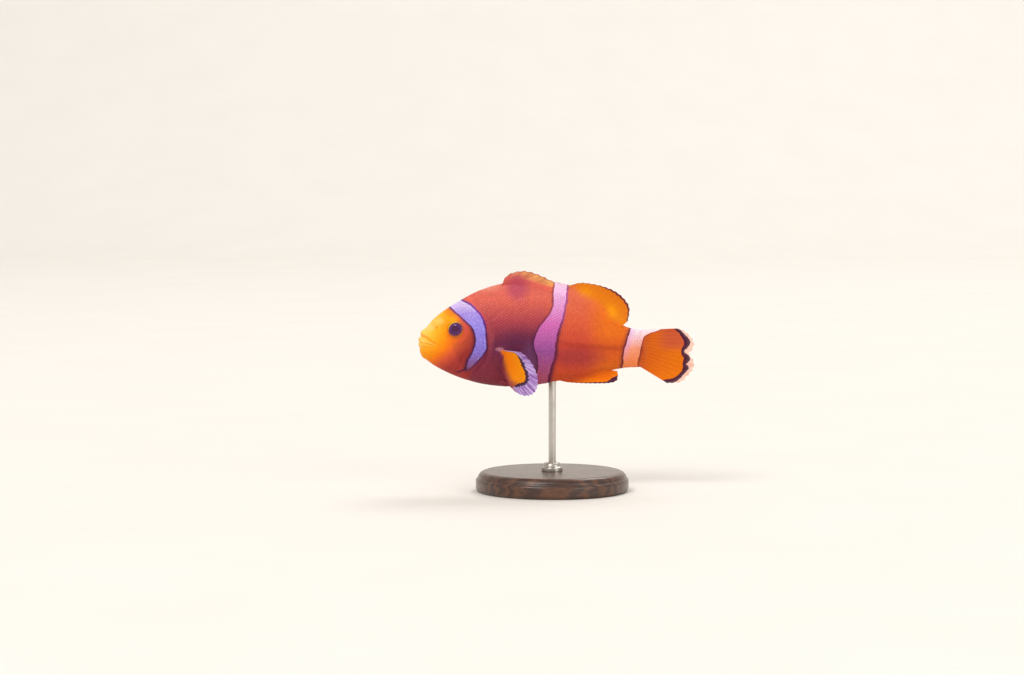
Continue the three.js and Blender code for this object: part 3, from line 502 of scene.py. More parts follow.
class Tree:
    """Short calls that add shader nodes to one tree."""

    def __init__(self, tree):
        self.tree = tree

    def node(self, kind, inputs=(), **settings):
        made = self.tree.nodes.new("ShaderNode" + kind)
        for key, value in settings.items():
            setattr(made, key, value)
        for key, value in dict(inputs).items():
            self.join(made.inputs[key], value)
        return made

    def wire(self, kind, output, inputs=(), **settings):
        return Wire(self, self.node(kind, inputs, **settings).outputs[output])

    def join(self, socket, value):
        if isinstance(value, Wire):
            self.tree.links.new(value.socket, socket)
        elif isinstance(value, tuple) and socket.type == "RGBA":
            socket.default_value = (*value, 1)
        else:
            socket.default_value = value

    def math(self, operation, *values, clamp=False):
        return self.wire("Math", 0, enumerate(values), operation=operation, use_clamp=clamp)

    def mix(self, share, a, b, way="MIX"):
        """Colour a with a share of colour b laid over it."""
        return self.wire("Mix", 2, {0: share, 6: a, 7: b}, data_type="RGBA", blend_type=way,
                         clamp_factor=True)

    def noise(self, place, scale, detail=2.0, rough=0.5):
        inputs = {"Vector": place, "Scale": scale, "Detail": detail, "Roughness": rough}
        return self.wire("TexNoise", "Fac", inputs)

    def stretched(self, place, *scale):
        return self.wire("Mapping", 0, {"Vector": place, "Scale": scale})

    def apart(self, place):
        return [Wire(self, socket) for socket in self.node("SeparateXYZ", {"Vector": place}).outputs]

    def measure(self, name):
        return self.wire("Attribute", "Fac", attribute_type="GEOMETRY", attribute_name=name)

    def ramp(self, value, stops):
        """A colour ramp through stops of (place, red, green, blue)."""
        made = self.node("ValToRGB", {"Fac": value})
        ramp = made.color_ramp
        ramp.interpolation = "LINEAR"
        for i, (place, *colour) in enumerate(stops):
            stop = ramp.elements[i] if i < 2 else ramp.elements.new(place)
            stop.position, stop.color = place, (*shade(*colour), 1)
        return Wire(self, made.outputs[0])

    def curve(self, value, points, in_range, out_range):
        """A smooth curve through (input, output) points, read on plain numbers."""
        made = self.node("FloatCurve", {"Value": value.span(*in_range)})
        line = made.mapping.curves[0]
        for i, (at, to) in enumerate(points):
            spot = [(v - low) / (high - low) for v, (low, high) in ((at, in_range), (to, out_range))]
            if i < 2:
                line.points[i].location = spot
            else:
                line.points.new(*spot)
        made.mapping.update()
        return Wire(self, made.outputs[0]).span(0.0, 1.0, *out_range)


class Material(Tree):
    """The tree of a new material, with its Principled shader and the place on the fish in millimetres."""

    def __init__(self, name):
        self.made = bpy.data.materials.new(name)
        self.made.use_nodes = True
        super().__init__(self.made.node_tree)
        here = self.wire("TexCoord", "Object")
        self.place = self.wire("Mapping", 0, {
            "Vector": here, "Location": (ROD_X, 0, -AXIS_HEIGHT), "Scale": (1 / MM,) * 3})

    def livery(self):
        """The fish's colour, its white bands and their dark lines at this place."""
        used = self.node("Group", {"Place": self.place}, node_tree=LIVERY)
        return [Wire(self, socket) for socket in used.outputs]

    def finish(self, colour, rough, others=(), height=None, depth=0.0, strength=1.0):
        """The material, its shader joined to a colour, a roughness, other sockets and a bump whose heights
        from 0 to 1 stand for a depth in metres."""
        shader = self.tree.nodes["Principled BSDF"]
        for key, value in {"Base Color": colour, "Roughness": rough, **dict(others)}.items():
            self.join(shader.inputs[key], value)
        if height is not None:
            self.join(shader.inputs["Normal"], self.wire(
                "Bump", 0, {"Height": height, "Distance": depth, "Strength": strength}))
        return self.made


def livery_group():
    """The fish's colours by place: orange flanks that shade from lemon at the snout through red-orange and
    a dusky saddle, with painted highlights and painted shade among them, three white bands bounded by curves
    x(z) and darker lower down as painted shade, and a dark line on each side of a band with a painted shadow
    beside it."""
    tree = bpy.data.node_groups.new("livery", "ShaderNodeTree")
    for way, sockets in (("INPUT", {"Place": "Vector"}), ("OUTPUT", {"Colour": "Color", "Band": "Float",
                                                                     "Dark": "Float"})):
        for key, kind in sockets.items():
            tree.interface.new_socket(key, in_out=way, socket_type="NodeSocket" + kind)
    make = Tree(tree)
    place = Wire(make, tree.nodes.new("NodeGroupInput").outputs["Place"])
    even_x, _, z = make.apart(place)
    x = even_x + (make.noise(place, 0.42, 3) * 1.1 - 0.55)  # borders wander by half a millimetre at most
    heights = z.span(*TONE_HEIGHTS)

    def spot(middle_x, middle_z, long, high):
        """1 inside an ellipse, fading to 0 at its edge."""
        along, up = (x - middle_x) / long, (z - middle_z) / high
        return (along * along + up * up).by("SQRT").step(1.0, 0.2)

    def line_at(points, half, soft, first, last):
        """1 on a line z(x) of that half width between two places, with soft sides and ends."""
        off = (z - make.curve(even_x, points, (first, last), DEPTH_RANGE)).by("ABSOLUTE")
        return off.step(half + soft, half) * (even_x.step(first, first + 2.5) * even_x.step(last, last - 5.0))

    # The face turns lemon upwards and redder downwards: partly its own colour, partly a painted highlight on
    # top and painted shade under the chin.
    below = (0.0 - z).by("MAXIMUM", 0.0) * 0.036 - z * 0.02
    front, near, stern = (make.ramp(heights, tones) for tones in (FRONT_TONES, NEAR_TONES, STERN_TONES))
    past_face = x - make.curve(z, BANDS["head"]["front"], DEPTH_RANGE, LENGTH_RANGE)
    body = make.mix(past_face.step(0.3, 2.2), make.ramp(even_x * 0.05 + below, FACE_TONES), front)
    body = make.mix(x.step(37.0, 42.0), body, make.mix(x.step(48.0, 57.0), near, stern))

    mottle = make.noise(place, 0.9, 4, 0.6)
    # Orange skin at the pectoral's root, below a line that falls backwards.
    border = make.curve(z, [(pz, px) for px, pz in reversed(PECTORAL_FLESH)], DEPTH_RANGE, (20.0, 30.0))
    root = (even_x - border).step(-0.5, 1.2) * even_x.step(28.0, 25.0)
    root = root * ((even_x * 0.14 + z).step(2.8, 2.3) * z.step(-9.5, -6.0))
    layers = [(spot(*where) * share, tint) for share, where, tint in SPOTS] + [
        (spot(*GILL_STRIP) * mottle.step(0.35, 0.6, 0.35, 0.85), (0.64, 0.27, 0.3)),
        (line_at(*LATERAL_LINE) * 0.14, (0.96, 0.6, 0.48)),
        (line_at(*SEAM_LINE) * 0.32, (0.62, 0.16, 0.14)),
        # The pale lip: its own paler colour and a painted highlight on its ridge.
        (line_at(*LIP_PALE_AND_HIGHLIGHT_LINE) * 0.55, (1.0, 0.86, 0.5)),
        # Painted shade in the crease of the fold over the lip.
        (line_at(*FOLD_SHADE_LINE) * 0.5, (0.92, 0.5, 0.08)),
        (mottle.step(0.35, 0.75, 0.0, 0.14), (0.55, 0.16, 0.15)),
        (root, (0.95, 0.49, 0.04)),
        # Painted highlight along the upper edge of the pectoral's root.
        (spot(*PECTORAL_ROOT_HIGHLIGHT) * 0.5, (0.88, 0.6, 0.68))]
    for share, tint in layers:
        body = make.mix(share, body, shade(*tint))

    levels = np.linspace(*DEPTH_RANGE, 81)
    whites = darks = 0.0
    grain = make.noise(place, 2.1, 4, 0.65)
    for name, band in BANDS.items():
        sides = {}
        for edge in ("front", "rear"):
            zs, xs = np.array(band[edge], float).T
            lean = np.gradient(curve_through(zs, xs)(levels), levels)
            upright = np.interp(zs, levels, 1 / np.sqrt(1 + lean**2))
            at = make.curve(z, band[edge], DEPTH_RANGE, LENGTH_RANGE)
            true = make.curve(z, zip(zs, upright), DEPTH_RANGE, (0.0, 1.0))
            sides[edge] = (x - at if edge == "front" else at - x) * true
        white = sides["front"].by("MINIMUM", sides["rear"]).step(-0.08, 0.1) * z.step(*band["fade"])
        for edge, other in (("front", "rear"), ("rear", "front")):
            thick, soft, start, low, high, share, reach, flank = band["lines"][edge]
            side = sides[edge]
            ink = make.mix(z.step(2.0, 12.0), shade(*low), shade(*high))
            beside = sides[other].step(-0.5, 0.0) * z.step(start - 0.8, start + 0.8)
            # Painted shadow of the line's colour on the flank beside it, mostly strongest low on the body.
            body = make.mix(side.step(-reach, 0.0) * z.step(1.0, 10.0, *flank) * beside, body, ink)
            outer = side + z.step(0.0, 12.0, *thick)
            rim = outer.step(-soft, 0.4 * soft) * side.step(0.16, -0.06) * beside
            body = make.mix(rim * share, body, ink)
            darks = rim.by("MAXIMUM", darks)
        dark_share, light_share = band["speckles"]
        # The band's white turns violet and rose lower down: painted shade.
        chalk = make.ramp(heights, band["tones"])
        chalk = make.mix(grain.step(0.4, 0.66, 0.0, dark_share), chalk, shade(0.46, 0.36, 0.8))
        chalk = make.mix(grain.step(0.5, 0.34, 0.0, light_share), chalk, shade(0.97, 0.94, 1.0))
        if name == "tail":
            glow = sides["front"].step(2.2, 0.0) * z.step(-6.0, 0.0)
            chalk = make.mix(glow * 0.45, chalk, shade(0.9, 0.62, 0.88))
        body = make.mix(white, body, chalk)
        whites = white.by("MAXIMUM", whites)
    throat = line_at(*THROAT_LINE) * even_x.step(14.7, 14.2)
    body = make.mix(throat * 0.8, body, shade(0.27, 0.1, 0.28))
    out = tree.nodes.new("NodeGroupOutput").inputs
    for key, value in (("Colour", body), ("Band", whites), ("Dark", darks)):
        make.join(out[key], value)
    return tree


LIVERY = livery_group()
WET_SKIN = {"Subsurface Radius": (1.0, 0.35, 0.15), "Specular IOR Level": 0.09, "Coat Weight": 0.03,
            "Coat Roughness": 0.3}


def skin_material():
    """Smooth bare skin: the livery, with fine pores and wrinkles in the bump."""
    make = Material("fish_skin")
    fine = make.noise(make.place, 5.0, 4, 0.6)
    pores = make.wire("TexVoronoi", "Distance", {"Vector": make.place, "Scale": 2.6})
    colour = make.mix(fine.step(0.3, 0.8, 0.0, 0.12), make.livery()[0], (0.35, 0.3, 0.3), "MULTIPLY")
    return make.finish(colour, fine.step(0.2, 0.8, 0.38, 0.52),
                       {**WET_SKIN, "Subsurface Weight": 0.12, "Subsurface Scale": 0.0012},
                       fine * 0.6 + pores.step(0.0, 0.3, 0.0, 0.4), 0.00006)


def scale_material():
    """The coat: the livery with each scale a little lighter or darker than the next, a darker rim and
    fine growth lines across it."""
    make = Material("fish_scales")
    colour, band, _ = make.livery()
    tone, reach = make.measure("tone"), make.measure("reach")
    strength = band.step(0.0, 1.0, 0.1, 0.03)
    colour = make.mix(tone * strength, colour, (0.3, 0.3, 0.3), "MULTIPLY")
    colour = make.mix(reach.step(0.72, 0.98) * strength, colour, (0.25, 0.2, 0.2), "MULTIPLY")
    return make.finish(colour, tone.step(0.0, 1.0, 0.4, 0.52),
                       {**WET_SKIN, "Subsurface Weight": 0.08, "Subsurface Scale": 0.0008},
                       (reach * 40.0).by("SINE") * 0.5 + 0.5, 0.00001, 0.6)


FIN_MEASURES = ("root_mm", "edge_mm", "ridge", "past_mm", "half_mm", "flesh_mm", "dusk", "ray")


def fin_material(name, inner, outer, rim, rim_rays, ink, dusky, rays_ink, flesh_tone_and_shade, rays=0.25,
                 rays_from=2.0, rays_reach=12.0, sharp=2.5, clear=0.03, rim_clear=0.3, soft=1.3, banded=1.0):
    """A fin: the body's livery over its fleshy root, then a blade that goes from an inner to an outer colour
    with fine darker rays and a dusky part, a dark line and, past it, a paler see-through rim with rays of
    its own colour. Rays show from one distance off the root, up to another off the margin, and are the
    thinner the sharper they are. The flesh is the livery times a tone, which matches the scaled flank's
    darker coat and, as painted shade, keeps the fin's root from looking lighter than the flank beside it;
    its border is soft over some millimetres."""
    make = Material(name)
    inner, outer, rim, rim_rays, ink, dusky, rays_ink = (
        shade(*c) for c in (inner, outer, rim, rim_rays, ink, dusky, rays_ink))
    livery, band, dark = make.livery()
    root, edge, ridge, past, half, flesh_past, dusk, ray = (make.measure(key) for key in FIN_MEASURES)
    fine = make.noise(make.place, 3.0, 3, 0.6)
    blade = make.mix((root / (root + edge + 0.01)).step(0.05, 0.85), inner, outer)
    blade = make.mix(dusk, blade, dusky)
    streak = ridge.by("POWER", sharp) * root.step(rays_from, rays_from + 3.0)
    streak = streak * edge.step(rays_reach, rays_reach * 0.4)
    own = make.wire("CombineXYZ", 0, {"X": ray * 1.3, "Y": root * 0.07})
    uneven = make.noise(own, 1.0, 4, 0.7)
    blade = make.mix(streak * uneven.step(0.35, 0.65, 0.25, 1.0) * rays, blade, rays_ink)
    blade = make.mix(fine.step(0.35, 0.75, 0.0, 0.2), blade, dimmed(inner, 0.6))
    pale = make.mix(uneven.step(0.42, 0.62).by("MAXIMUM", past.step(1.0, 0.2, 0.0, 0.7)), rim, rim_rays)
    beyond = past.step(-0.1, 0.15)
    blade = make.mix(beyond, blade, make.mix(streak * 0.3, pale, dimmed(rim, 0.5)))
    flesh = (fine * 1.2 + flesh_past).step(0.6 + soft, 0.6 - soft)
    skin = make.mix(fine.step(0.3, 0.7, 0.15, 0.4), livery, (0.7, 0.7, 0.7), "MULTIPLY")
    # The flesh: the livery darkened by its tone, partly a painted shade.
    colour = make.mix(flesh, blade, make.mix(1.0, skin, flesh_tone_and_shade, "MULTIPLY"))
    near = root.step(12.0, 4.0, 0.0, banded)
    white = band * near
    colour = make.mix(white.by("MAXIMUM", dark * near), colour, skin)
    wobble = make.noise(make.place, 1.6, 2) * 0.4 - 0.2
    black = ((past + wobble).by("ABSOLUTE") - half).step(0.12, -0.1) * half.step(0.0, 0.08)
    colour = make.mix(black * 0.94, colour, ink)
    thin = (beyond * rim_clear).by("MAXIMUM", (1.0 - flesh) * clear)
    thin = thin * (1.0 - black.by("MAXIMUM", white)) * (1.0 - ridge * 0.6)
    joints = (root * 11.0).by("SINE") * 0.5 + 0.5
    return make.finish(
        colour, fine.step(0.2, 0.8, 0.4, 0.55),
        {"Alpha": make.math("SUBTRACT", 1.0, thin, clamp=True), "Specular IOR Level": 0.09,
         "Subsurface Weight": 0.15, "Subsurface Radius": (1.0, 0.45, 0.2), "Subsurface Scale": 0.0008},
        joints * ridge + fine * 0.4, 0.00002)


def eye_material():
    """By distance from the eye's axis: a very dark pupil, a violet ring round it, a painted reflection of
    blue light, and an orange iris with fine spokes, brightest above and in front as a painted highlight."""
    make = Material("eye_ball")
    radius = make.measure("radius_mm")
    fine = make.noise(make.place, 3.0, 3, 0.6)
    colour = make.ramp((fine * 0.16 + radius) / 3.0, [
        (0.0, 0.31, 0.11, 0.25), (0.3, 0.32, 0.13, 0.29), (0.5, 0.36, 0.19, 0.45), (0.62, 0.36, 0.16, 0.4),
        (0.7, 0.74, 0.36, 0.14), (0.84, 0.92, 0.5, 0.13), (1.0, 0.88, 0.43, 0.12)])
    # Painted highlight on the iris's upper front.
    bright = make.measure("bright").step(0.0, 0.9) * radius.step(1.95, 2.15)
    return make.finish(make.mix(bright, colour, shade(1.0, 0.8, 0.2)), fine.step(0.2, 0.8, 0.3, 0.4),
                       {"Specular IOR Level": 0.1}, fine * radius.step(2.0, 2.3), 0.00002)


def cornea_material():
    """The clear front of the eye."""
    make = Material("eye_cornea")
    return make.finish(make.mix(make.noise(make.place, 1.0), (1.0, 1.0, 1.0), (0.94, 0.95, 1.0)),
                       make.noise(make.place, 2.0).step(0.3, 0.8, 0.01, 0.05),
                       {"Transmission Weight": 1.0, "IOR": 1.17})


def wood_material():
    """Dark turned hardwood: growth rings warped by noise, streaked along the board, under satin lacquer."""
    make = Material("stand_wood")
    board = make.stretched(make.place, 0.12, 1.0, 1.0)
    rings = (make.apart(board)[1] * 2.4 + make.noise(board, 0.35, 3) * 14.0).by("SINE")
    streaks = make.noise(board, 3.2, 5, 0.7)
    colour = make.ramp(rings * 0.22 + streaks * 0.9, [
        (0.1, 0.16, 0.085, 0.05), (0.45, 0.27, 0.15, 0.085), (0.8, 0.4, 0.24, 0.14)])
    return make.finish(colour, streaks.step(0.3, 0.8, 0.3, 0.48),
                       {"Coat Weight": 0.35, "Coat Roughness": 0.18}, streaks, 0.00005)


def metal_material():
    """Satin metal with fine marks round it and faint smudges."""
    make = Material("stand_metal")
    marks = make.noise(make.stretched(make.place, 0.4, 0.4, 14.0), 2.0, 3, 0.6)
    smudge = make.noise(make.place, 0.25, 3)
    return make.finish(make.mix(smudge, shade(0.72, 0.7, 0.66), shade(0.82, 0.8, 0.77)),
                       (marks + smudge).step(0.6, 1.4, 0.22, 0.42), {"Metallic": 1.0}, marks, 0.00001, 0.5)


def paper_material():
    """Pale matt studio paper."""
    make = Material("studio_paper")
    colour = make.mix(make.noise(make.place, 0.02), shade(0.89, 0.875, 0.85), shade(0.91, 0.895, 0.87))
    return make.finish(colour, make.noise(make.place, 0.4).step(0.2, 0.8, 0.75, 0.9))


# ---------------------------------------------------------------- camera, floor and lights

VIEW_TARGET, VIEW_DISTANCE, VIEW_LIFT = Vector((-0.0121, 0.0, 0.04625)), 0.8533, math.radians(4)
MODEL_MIDDLE = (0, 0, 0.04)
FLOOR_NEAR, FLOOR_HALF, FLOOR_BACK, FLOOR_BEND, WALL_TOP = -3.0, 6.0, 1.6, 0.9, 4.0


def in_scene(made, place=(0, 0, 0), facing=None):
    """Links an object and turns it so that its back points along facing."""
    bpy.context.scene.collection.objects.link(made)
    made.location = place
    if facing is not None:
        made.rotation_euler = facing.to_track_quat("Z", "Y").to_euler()
    return made


def studio_floor():
    """A pale floor that runs back and curves up into a wall: a profile of a flat run, a quarter circle
    and an upright, carried sideways."""
    turn = np.linspace(0, np.pi / 2, 24)
    y = np.concatenate([[FLOOR_NEAR], FLOOR_BACK + FLOOR_BEND * np.sin(turn), [FLOOR_BACK + FLOOR_BEND]])
    z = np.concatenate([[0], FLOOR_BEND * (1 - np.cos(turn)), [WALL_TOP]])
    side = np.array([-FLOOR_HALF, FLOOR_HALF])
    points = np.stack(np.broadcast_arrays(side[None, :], y[:, None], z[:, None]), -1)
    floor = piece("studio_floor", points, grid_faces(len(y), 2), [], paper_material(), None, None)


def soft_light(name, place, aim, size, watts, colour=(1, 1, 1)):
    """A square soft box that faces the point it is aimed at."""
    lamp = bpy.data.lights.new(name, "AREA")
    lamp.shape, lamp.size, lamp.energy, lamp.color = "SQUARE", size, watts, colour
    in_scene(bpy.data.objects.new(name, lamp), place, Vector(place) - Vector(aim))


view_back = Vector((0, -math.cos(VIEW_LIFT), math.sin(VIEW_LIFT)))
camera = in_scene(bpy.data.objects.new("camera", bpy.data.cameras.new("camera")),
                  VIEW_TARGET + view_back * VIEW_DISTANCE, view_back)
bpy.context.scene.camera = camera
camera.data.lens, camera.data.sensor_width, camera.data.clip_start = 100, 36, 0.01
studio_floor()
soft_light("key_light", (-1.3, -1.9, 2.6), MODEL_MIDDLE, 1.4, 58.0, (1.0, 0.97, 0.93))
soft_light("fill_light", (2.2, -2.0, 1.0), MODEL_MIDDLE, 1.6, 24.0, (1.0, 0.97, 0.95))
soft_light("back_light", (0.8, 1.4, 2.2), (0, 0.2, 0.05), 1.2, 24.0)
world = bpy.data.worlds.new("studio")
bpy.context.scene.world = world
world.use_nodes = True
sky = world.node_tree.nodes["Background"].inputs
sky["Color"].default_value, sky["Strength"].default_value = (1.0, 0.98, 0.96, 1), 0.62
bpy.context.scene.view_settings.view_transform = "Standard"

# ---------------------------------------------------------------- skin

SKIN, SCALES = skin_material(), scale_material()
SIDES = (("left", -1), ("right", 1))


def fish_skin():
    """One closed skin for head, jaw, gill covers, trunk and stem: rings of the body's surface, close over
    the face and wider behind."""
    cap = NOSE_ROUND * (1 - np.cos(np.radians(np.linspace(5, 86, 22))))
    places = np.concatenate([cap, np.arange(NOSE_ROUND, 6.0, 0.09), np.arange(6.0, 22.0, 0.14),
                             np.arange(22.0, 66.0, 0.42), np.linspace(66.0, BODY_END, 10)])
    turn = np.linspace(0, 2 * np.pi, 300, endpoint=False)
    rings = row_frame(body_surface(places[:, None], turn[None, :]))
    piece("clownfish_skin", *tube(rings), SKIN,
          ("head", "lower_jaw", "gill_cover_left", "gill_cover_right", "trunk", "tail_stem"), "skin")


fish_skin()

# ---------------------------------------------------------------- scales

ROUGH = np.random.default_rng(7)
LENGTHWISE, CROSSWISE = 4, 6  # cells of one scale along and across it
NET_PLACES, NET_ANGLES, NET_ROWS = 400, 481, 600  # entries of the tables of a net
UV_PATCH, UV_START, UV_SHARE, UV_LENGTH = 0.003, 0.05, 0.9, 70.0
DRAWS = ((1, 0.05), (1, 0.12), (0.5, 0.22))  # mean and spread of a scale's size, tilt and tone
ROOT_AHEAD, HALF_ROWS = 0.1, 0.53  # where a scale starts, in columns, and its half width in rows
ROOT_SUNK, BARE_SUNK = 0.05, 0.04  # how deep its root lies, and how much deeper on bare skin


def between(span, share):
    return span[0] + (span[1] - span[0]) * share


class Lattice:
    """The net of scale roots on one stretch of the body. Columns lie across the fish and rows run along
    it from the mid-depth line, so that rows end where the body narrows. Column and row steps go evenly
    from a front to a rear size."""

    def __init__(self, start, end, column_mm, row_mm):
        self.places = np.linspace(start, end, NET_PLACES)
        share = (self.places - start) / (end - start)
        density = 1 / between(column_mm, share)
        counted = np.cumsum((density[1:] + density[:-1]) / 2 * np.diff(self.places))
        self.counts = np.concatenate([[0], counted])
        angles = np.linspace(0, np.pi, NET_ANGLES)
        girth = plain_body(self.places[:, None], angles[None, :])
        run = np.cumsum(np.linalg.norm(np.diff(girth, axis=1), axis=-1), 1)
        run = np.concatenate([np.zeros((NET_PLACES, 1)), run], 1)
        middle = NET_ANGLES // 2
        rows = (run - run[:, middle:middle + 1]) / between(row_mm, share)[:, None]
        self.row_low, self.row_high = rows[:, 0], rows[:, -1]
        self.row_net = np.linspace(rows.min(), rows.max(), NET_ROWS)
        self.angle_net = np.array([np.interp(self.row_net, r, angles) for r in rows])

    def place(self, column):
        return np.interp(column, self.counts, self.places)

    def angle(self, column, row):
        """The angle of a net point: linear between the four nearest entries of the table."""
        i = np.interp(self.place(column), self.places, np.arange(NET_PLACES))
        j = np.interp(row, self.row_net, np.arange(NET_ROWS))
        i0, j0 = np.minimum(i.astype(int), NET_PLACES - 2), np.minimum(j.astype(int), NET_ROWS - 2)
        u, v, t = i - i0, j - j0, self.angle_net
        return ((1 - u) * (1 - v) * t[i0, j0] + u * (1 - v) * t[i0 + 1, j0]
                + (1 - u) * v * t[i0, j0 + 1] + u * v * t[i0 + 1, j0 + 1])

    def roots(self):
        """Every root as (column, row), with every second column half a row lower."""
        columns = np.arange(0, int(self.counts[-1]))
        low, high = int(np.floor(self.row_low.min())) - 1, int(np.ceil(self.row_high.max())) + 1
        c, r = np.meshgrid(columns, np.arange(low, high + 1), indexing="ij")
        r = r + 0.5 * (c % 2)
        first, last = (np.interp(self.place(c.astype(float)), self.places, ends)
                       for ends in (self.row_low, self.row_high))
        fits = (r > first - 0.2) & (r < last + 0.2)
        return c[fits].astype(float), r[fits]


def scale_plate():
    """One scale on the unit net: along, across, crown, side (1 above, 0 on the rim, -1 below) and reach of
    its points, and its faces. The free edge is a parabola, the plate is crowned across and comes to a thin
    edge, and its upper and lower face share the rim."""
    a, b = np.meshgrid(np.linspace(0, 1, LENGTHWISE + 1), np.linspace(-1, 1, CROSSWISE + 1), indexing="ij")
    a, b = a.ravel(), b.ravel()
    rim = np.maximum(np.abs(b), np.abs(2 * a - 1)) > 1 - 1e-9
    top = np.arange(rim.size)
    under = np.where(rim, top, rim.size + np.cumsum(~rim) - 1)
    cells = grid_faces(LENGTHWISE + 1, CROSSWISE + 1)
    pick = np.concatenate([top, top[~rim]])
    side = np.concatenate([np.where(rim, 0.0, 1.0), -np.ones((~rim).sum())])
    shape = [v[pick] for v in (a * (1 - 0.36 * b**2 * a), b * (1 - 0.16 * (1 - a) ** 2), 1 - 0.55 * b**2)]
    return *shape, side, a[pick], np.vstack([cells, under[cells][:, ::-1]])


def coat_piece(name, node, side, lattice, keep, rise, thick, overlap):
    """Scales on one side of one stretch: the plate laid on the net at every root that is kept, tipped so
    that its free edge stands over the roots behind it."""
    column, row = lattice.roots()
    kept = keep(plain_body(lattice.place(column), lattice.angle(column, row)))
    column, row = column[kept], row[kept]
    x, angle = lattice.place(column), lattice.angle(column, row)
    along, across, crown, face, reach, faces = scale_plate()
    size, tilt, tone = (mean + spread * ROUGH.standard_normal(len(x)) for mean, spread in DRAWS)
    c = column[:, None] + overlap * size[:, None] * along - ROOT_AHEAD
    r = row[:, None] + HALF_ROWS * size[:, None] * across
    places, angles = lattice.place(c), lattice.angle(c, r)
    share = scaled_share(plain_body(places, angles))
    lift = -ROOT_SUNK + (ROOT_SUNK + rise * tilt[:, None] * (0.5 + 0.5 * crown) * share) * np.sqrt(along)
    lift = lift + thick * (0.5 + 0.5 * face) * crown - BARE_SUNK * (1 - share)
    points = body_surface(places, angles, lift) * [1, -side, 1]
    count = len(along)
    quads = (faces[None] + np.arange(len(x))[:, None, None] * count).reshape(-1, 4)
    made = piece(name, row_frame(points), quads, [], SCALES, (node,), "skin",
                 {"tone": np.repeat(np.clip(tone, 0, 1), count), "reach": np.tile(reach, len(x))})
    u = UV_START + UV_SHARE * angle[:, None] / np.pi + UV_PATCH * (across[None] / 2)
    v = UV_START + UV_SHARE * x[:, None] / UV_LENGTH + UV_PATCH * (along[None] - 0.5)
    place = np.stack([u, v], -1).reshape(-1, 2)
    corner = np.empty(len(made.data.loops), np.int32)
    made.data.loops.foreach_get("vertex_index", corner)
    made.data.uv_layers.new(name="OFBake").data.foreach_set("uv", place[corner].astype(np.float32).ravel())


def behind_gills(point):
    return distance_behind(GILL_CURVE, point[..., 0], point[..., 2])


def on_trunk(first, last):
    """Roots behind the gill cover, between two places along the fish."""
    return lambda p: ((behind_gills(p) > 0.25) & (p[..., 0] >= first) & (p[..., 0] < last)
                      & (scaled_share(p) > 0.1))


def on_head(p):
    """Roots on the cheek and the gill cover, clear of the cover's edge."""
    return (behind_gills(p) < -0.95) & (scaled_share(p) > 0.1)


BODY_NET = Lattice(10.0, 67.6, (0.8, 0.6), (0.98, 0.7))
HEAD_NET = Lattice(7.0, 21.5, (0.52, 0.6), (0.62, 0.72))
for side_name, side in SIDES:
    coat_piece("head_scales_" + side_name, "head", side, HEAD_NET, on_head, 0.03, 0.018, 1.95)
    coat_piece("front_scales_" + side_name, "trunk", side, BODY_NET, on_trunk(0, 38), 0.05, 0.024, 2.05)
    coat_piece("rear_scales_" + side_name, "trunk", side, BODY_NET, on_trunk(38, 66.6), 0.045, 0.022, 2.05)

# ---------------------------------------------------------------- fins

COLUMNS_PER_RAY = 16
SIDEWAYS = np.array([0.0, 1.0, 0.0])
# How far a fin's fleshy root and its skirt reach out, the width of its rounded rim, and that of its
# rounded first and last edge as a share of the fin.
ROOT_REACH, SKIRT_REACH, RIM_ROUND, SIDE_ROUND = 3.0, 1.6, 0.12, 0.004


def ray_ridges(f, t, branches):
    """Height of the rays across one gap, f from -0.5 to 0.5: a bell along each ray, which parts in two
    and again in two as its branches spread with t."""
    half_at, quarter_at = branches
    a = 0.24 * smooth_step(half_at, 1.05, t)
    b = 0.115 * smooth_step(quarter_at, 1.05, t)
    width = 0.12 - 0.05 * smooth_step(half_at, 1, t)
    return np.max([bell(f - sa * a - sb * b, width) for sa in (-1, 1) for sb in (-1, 1)], axis=0)


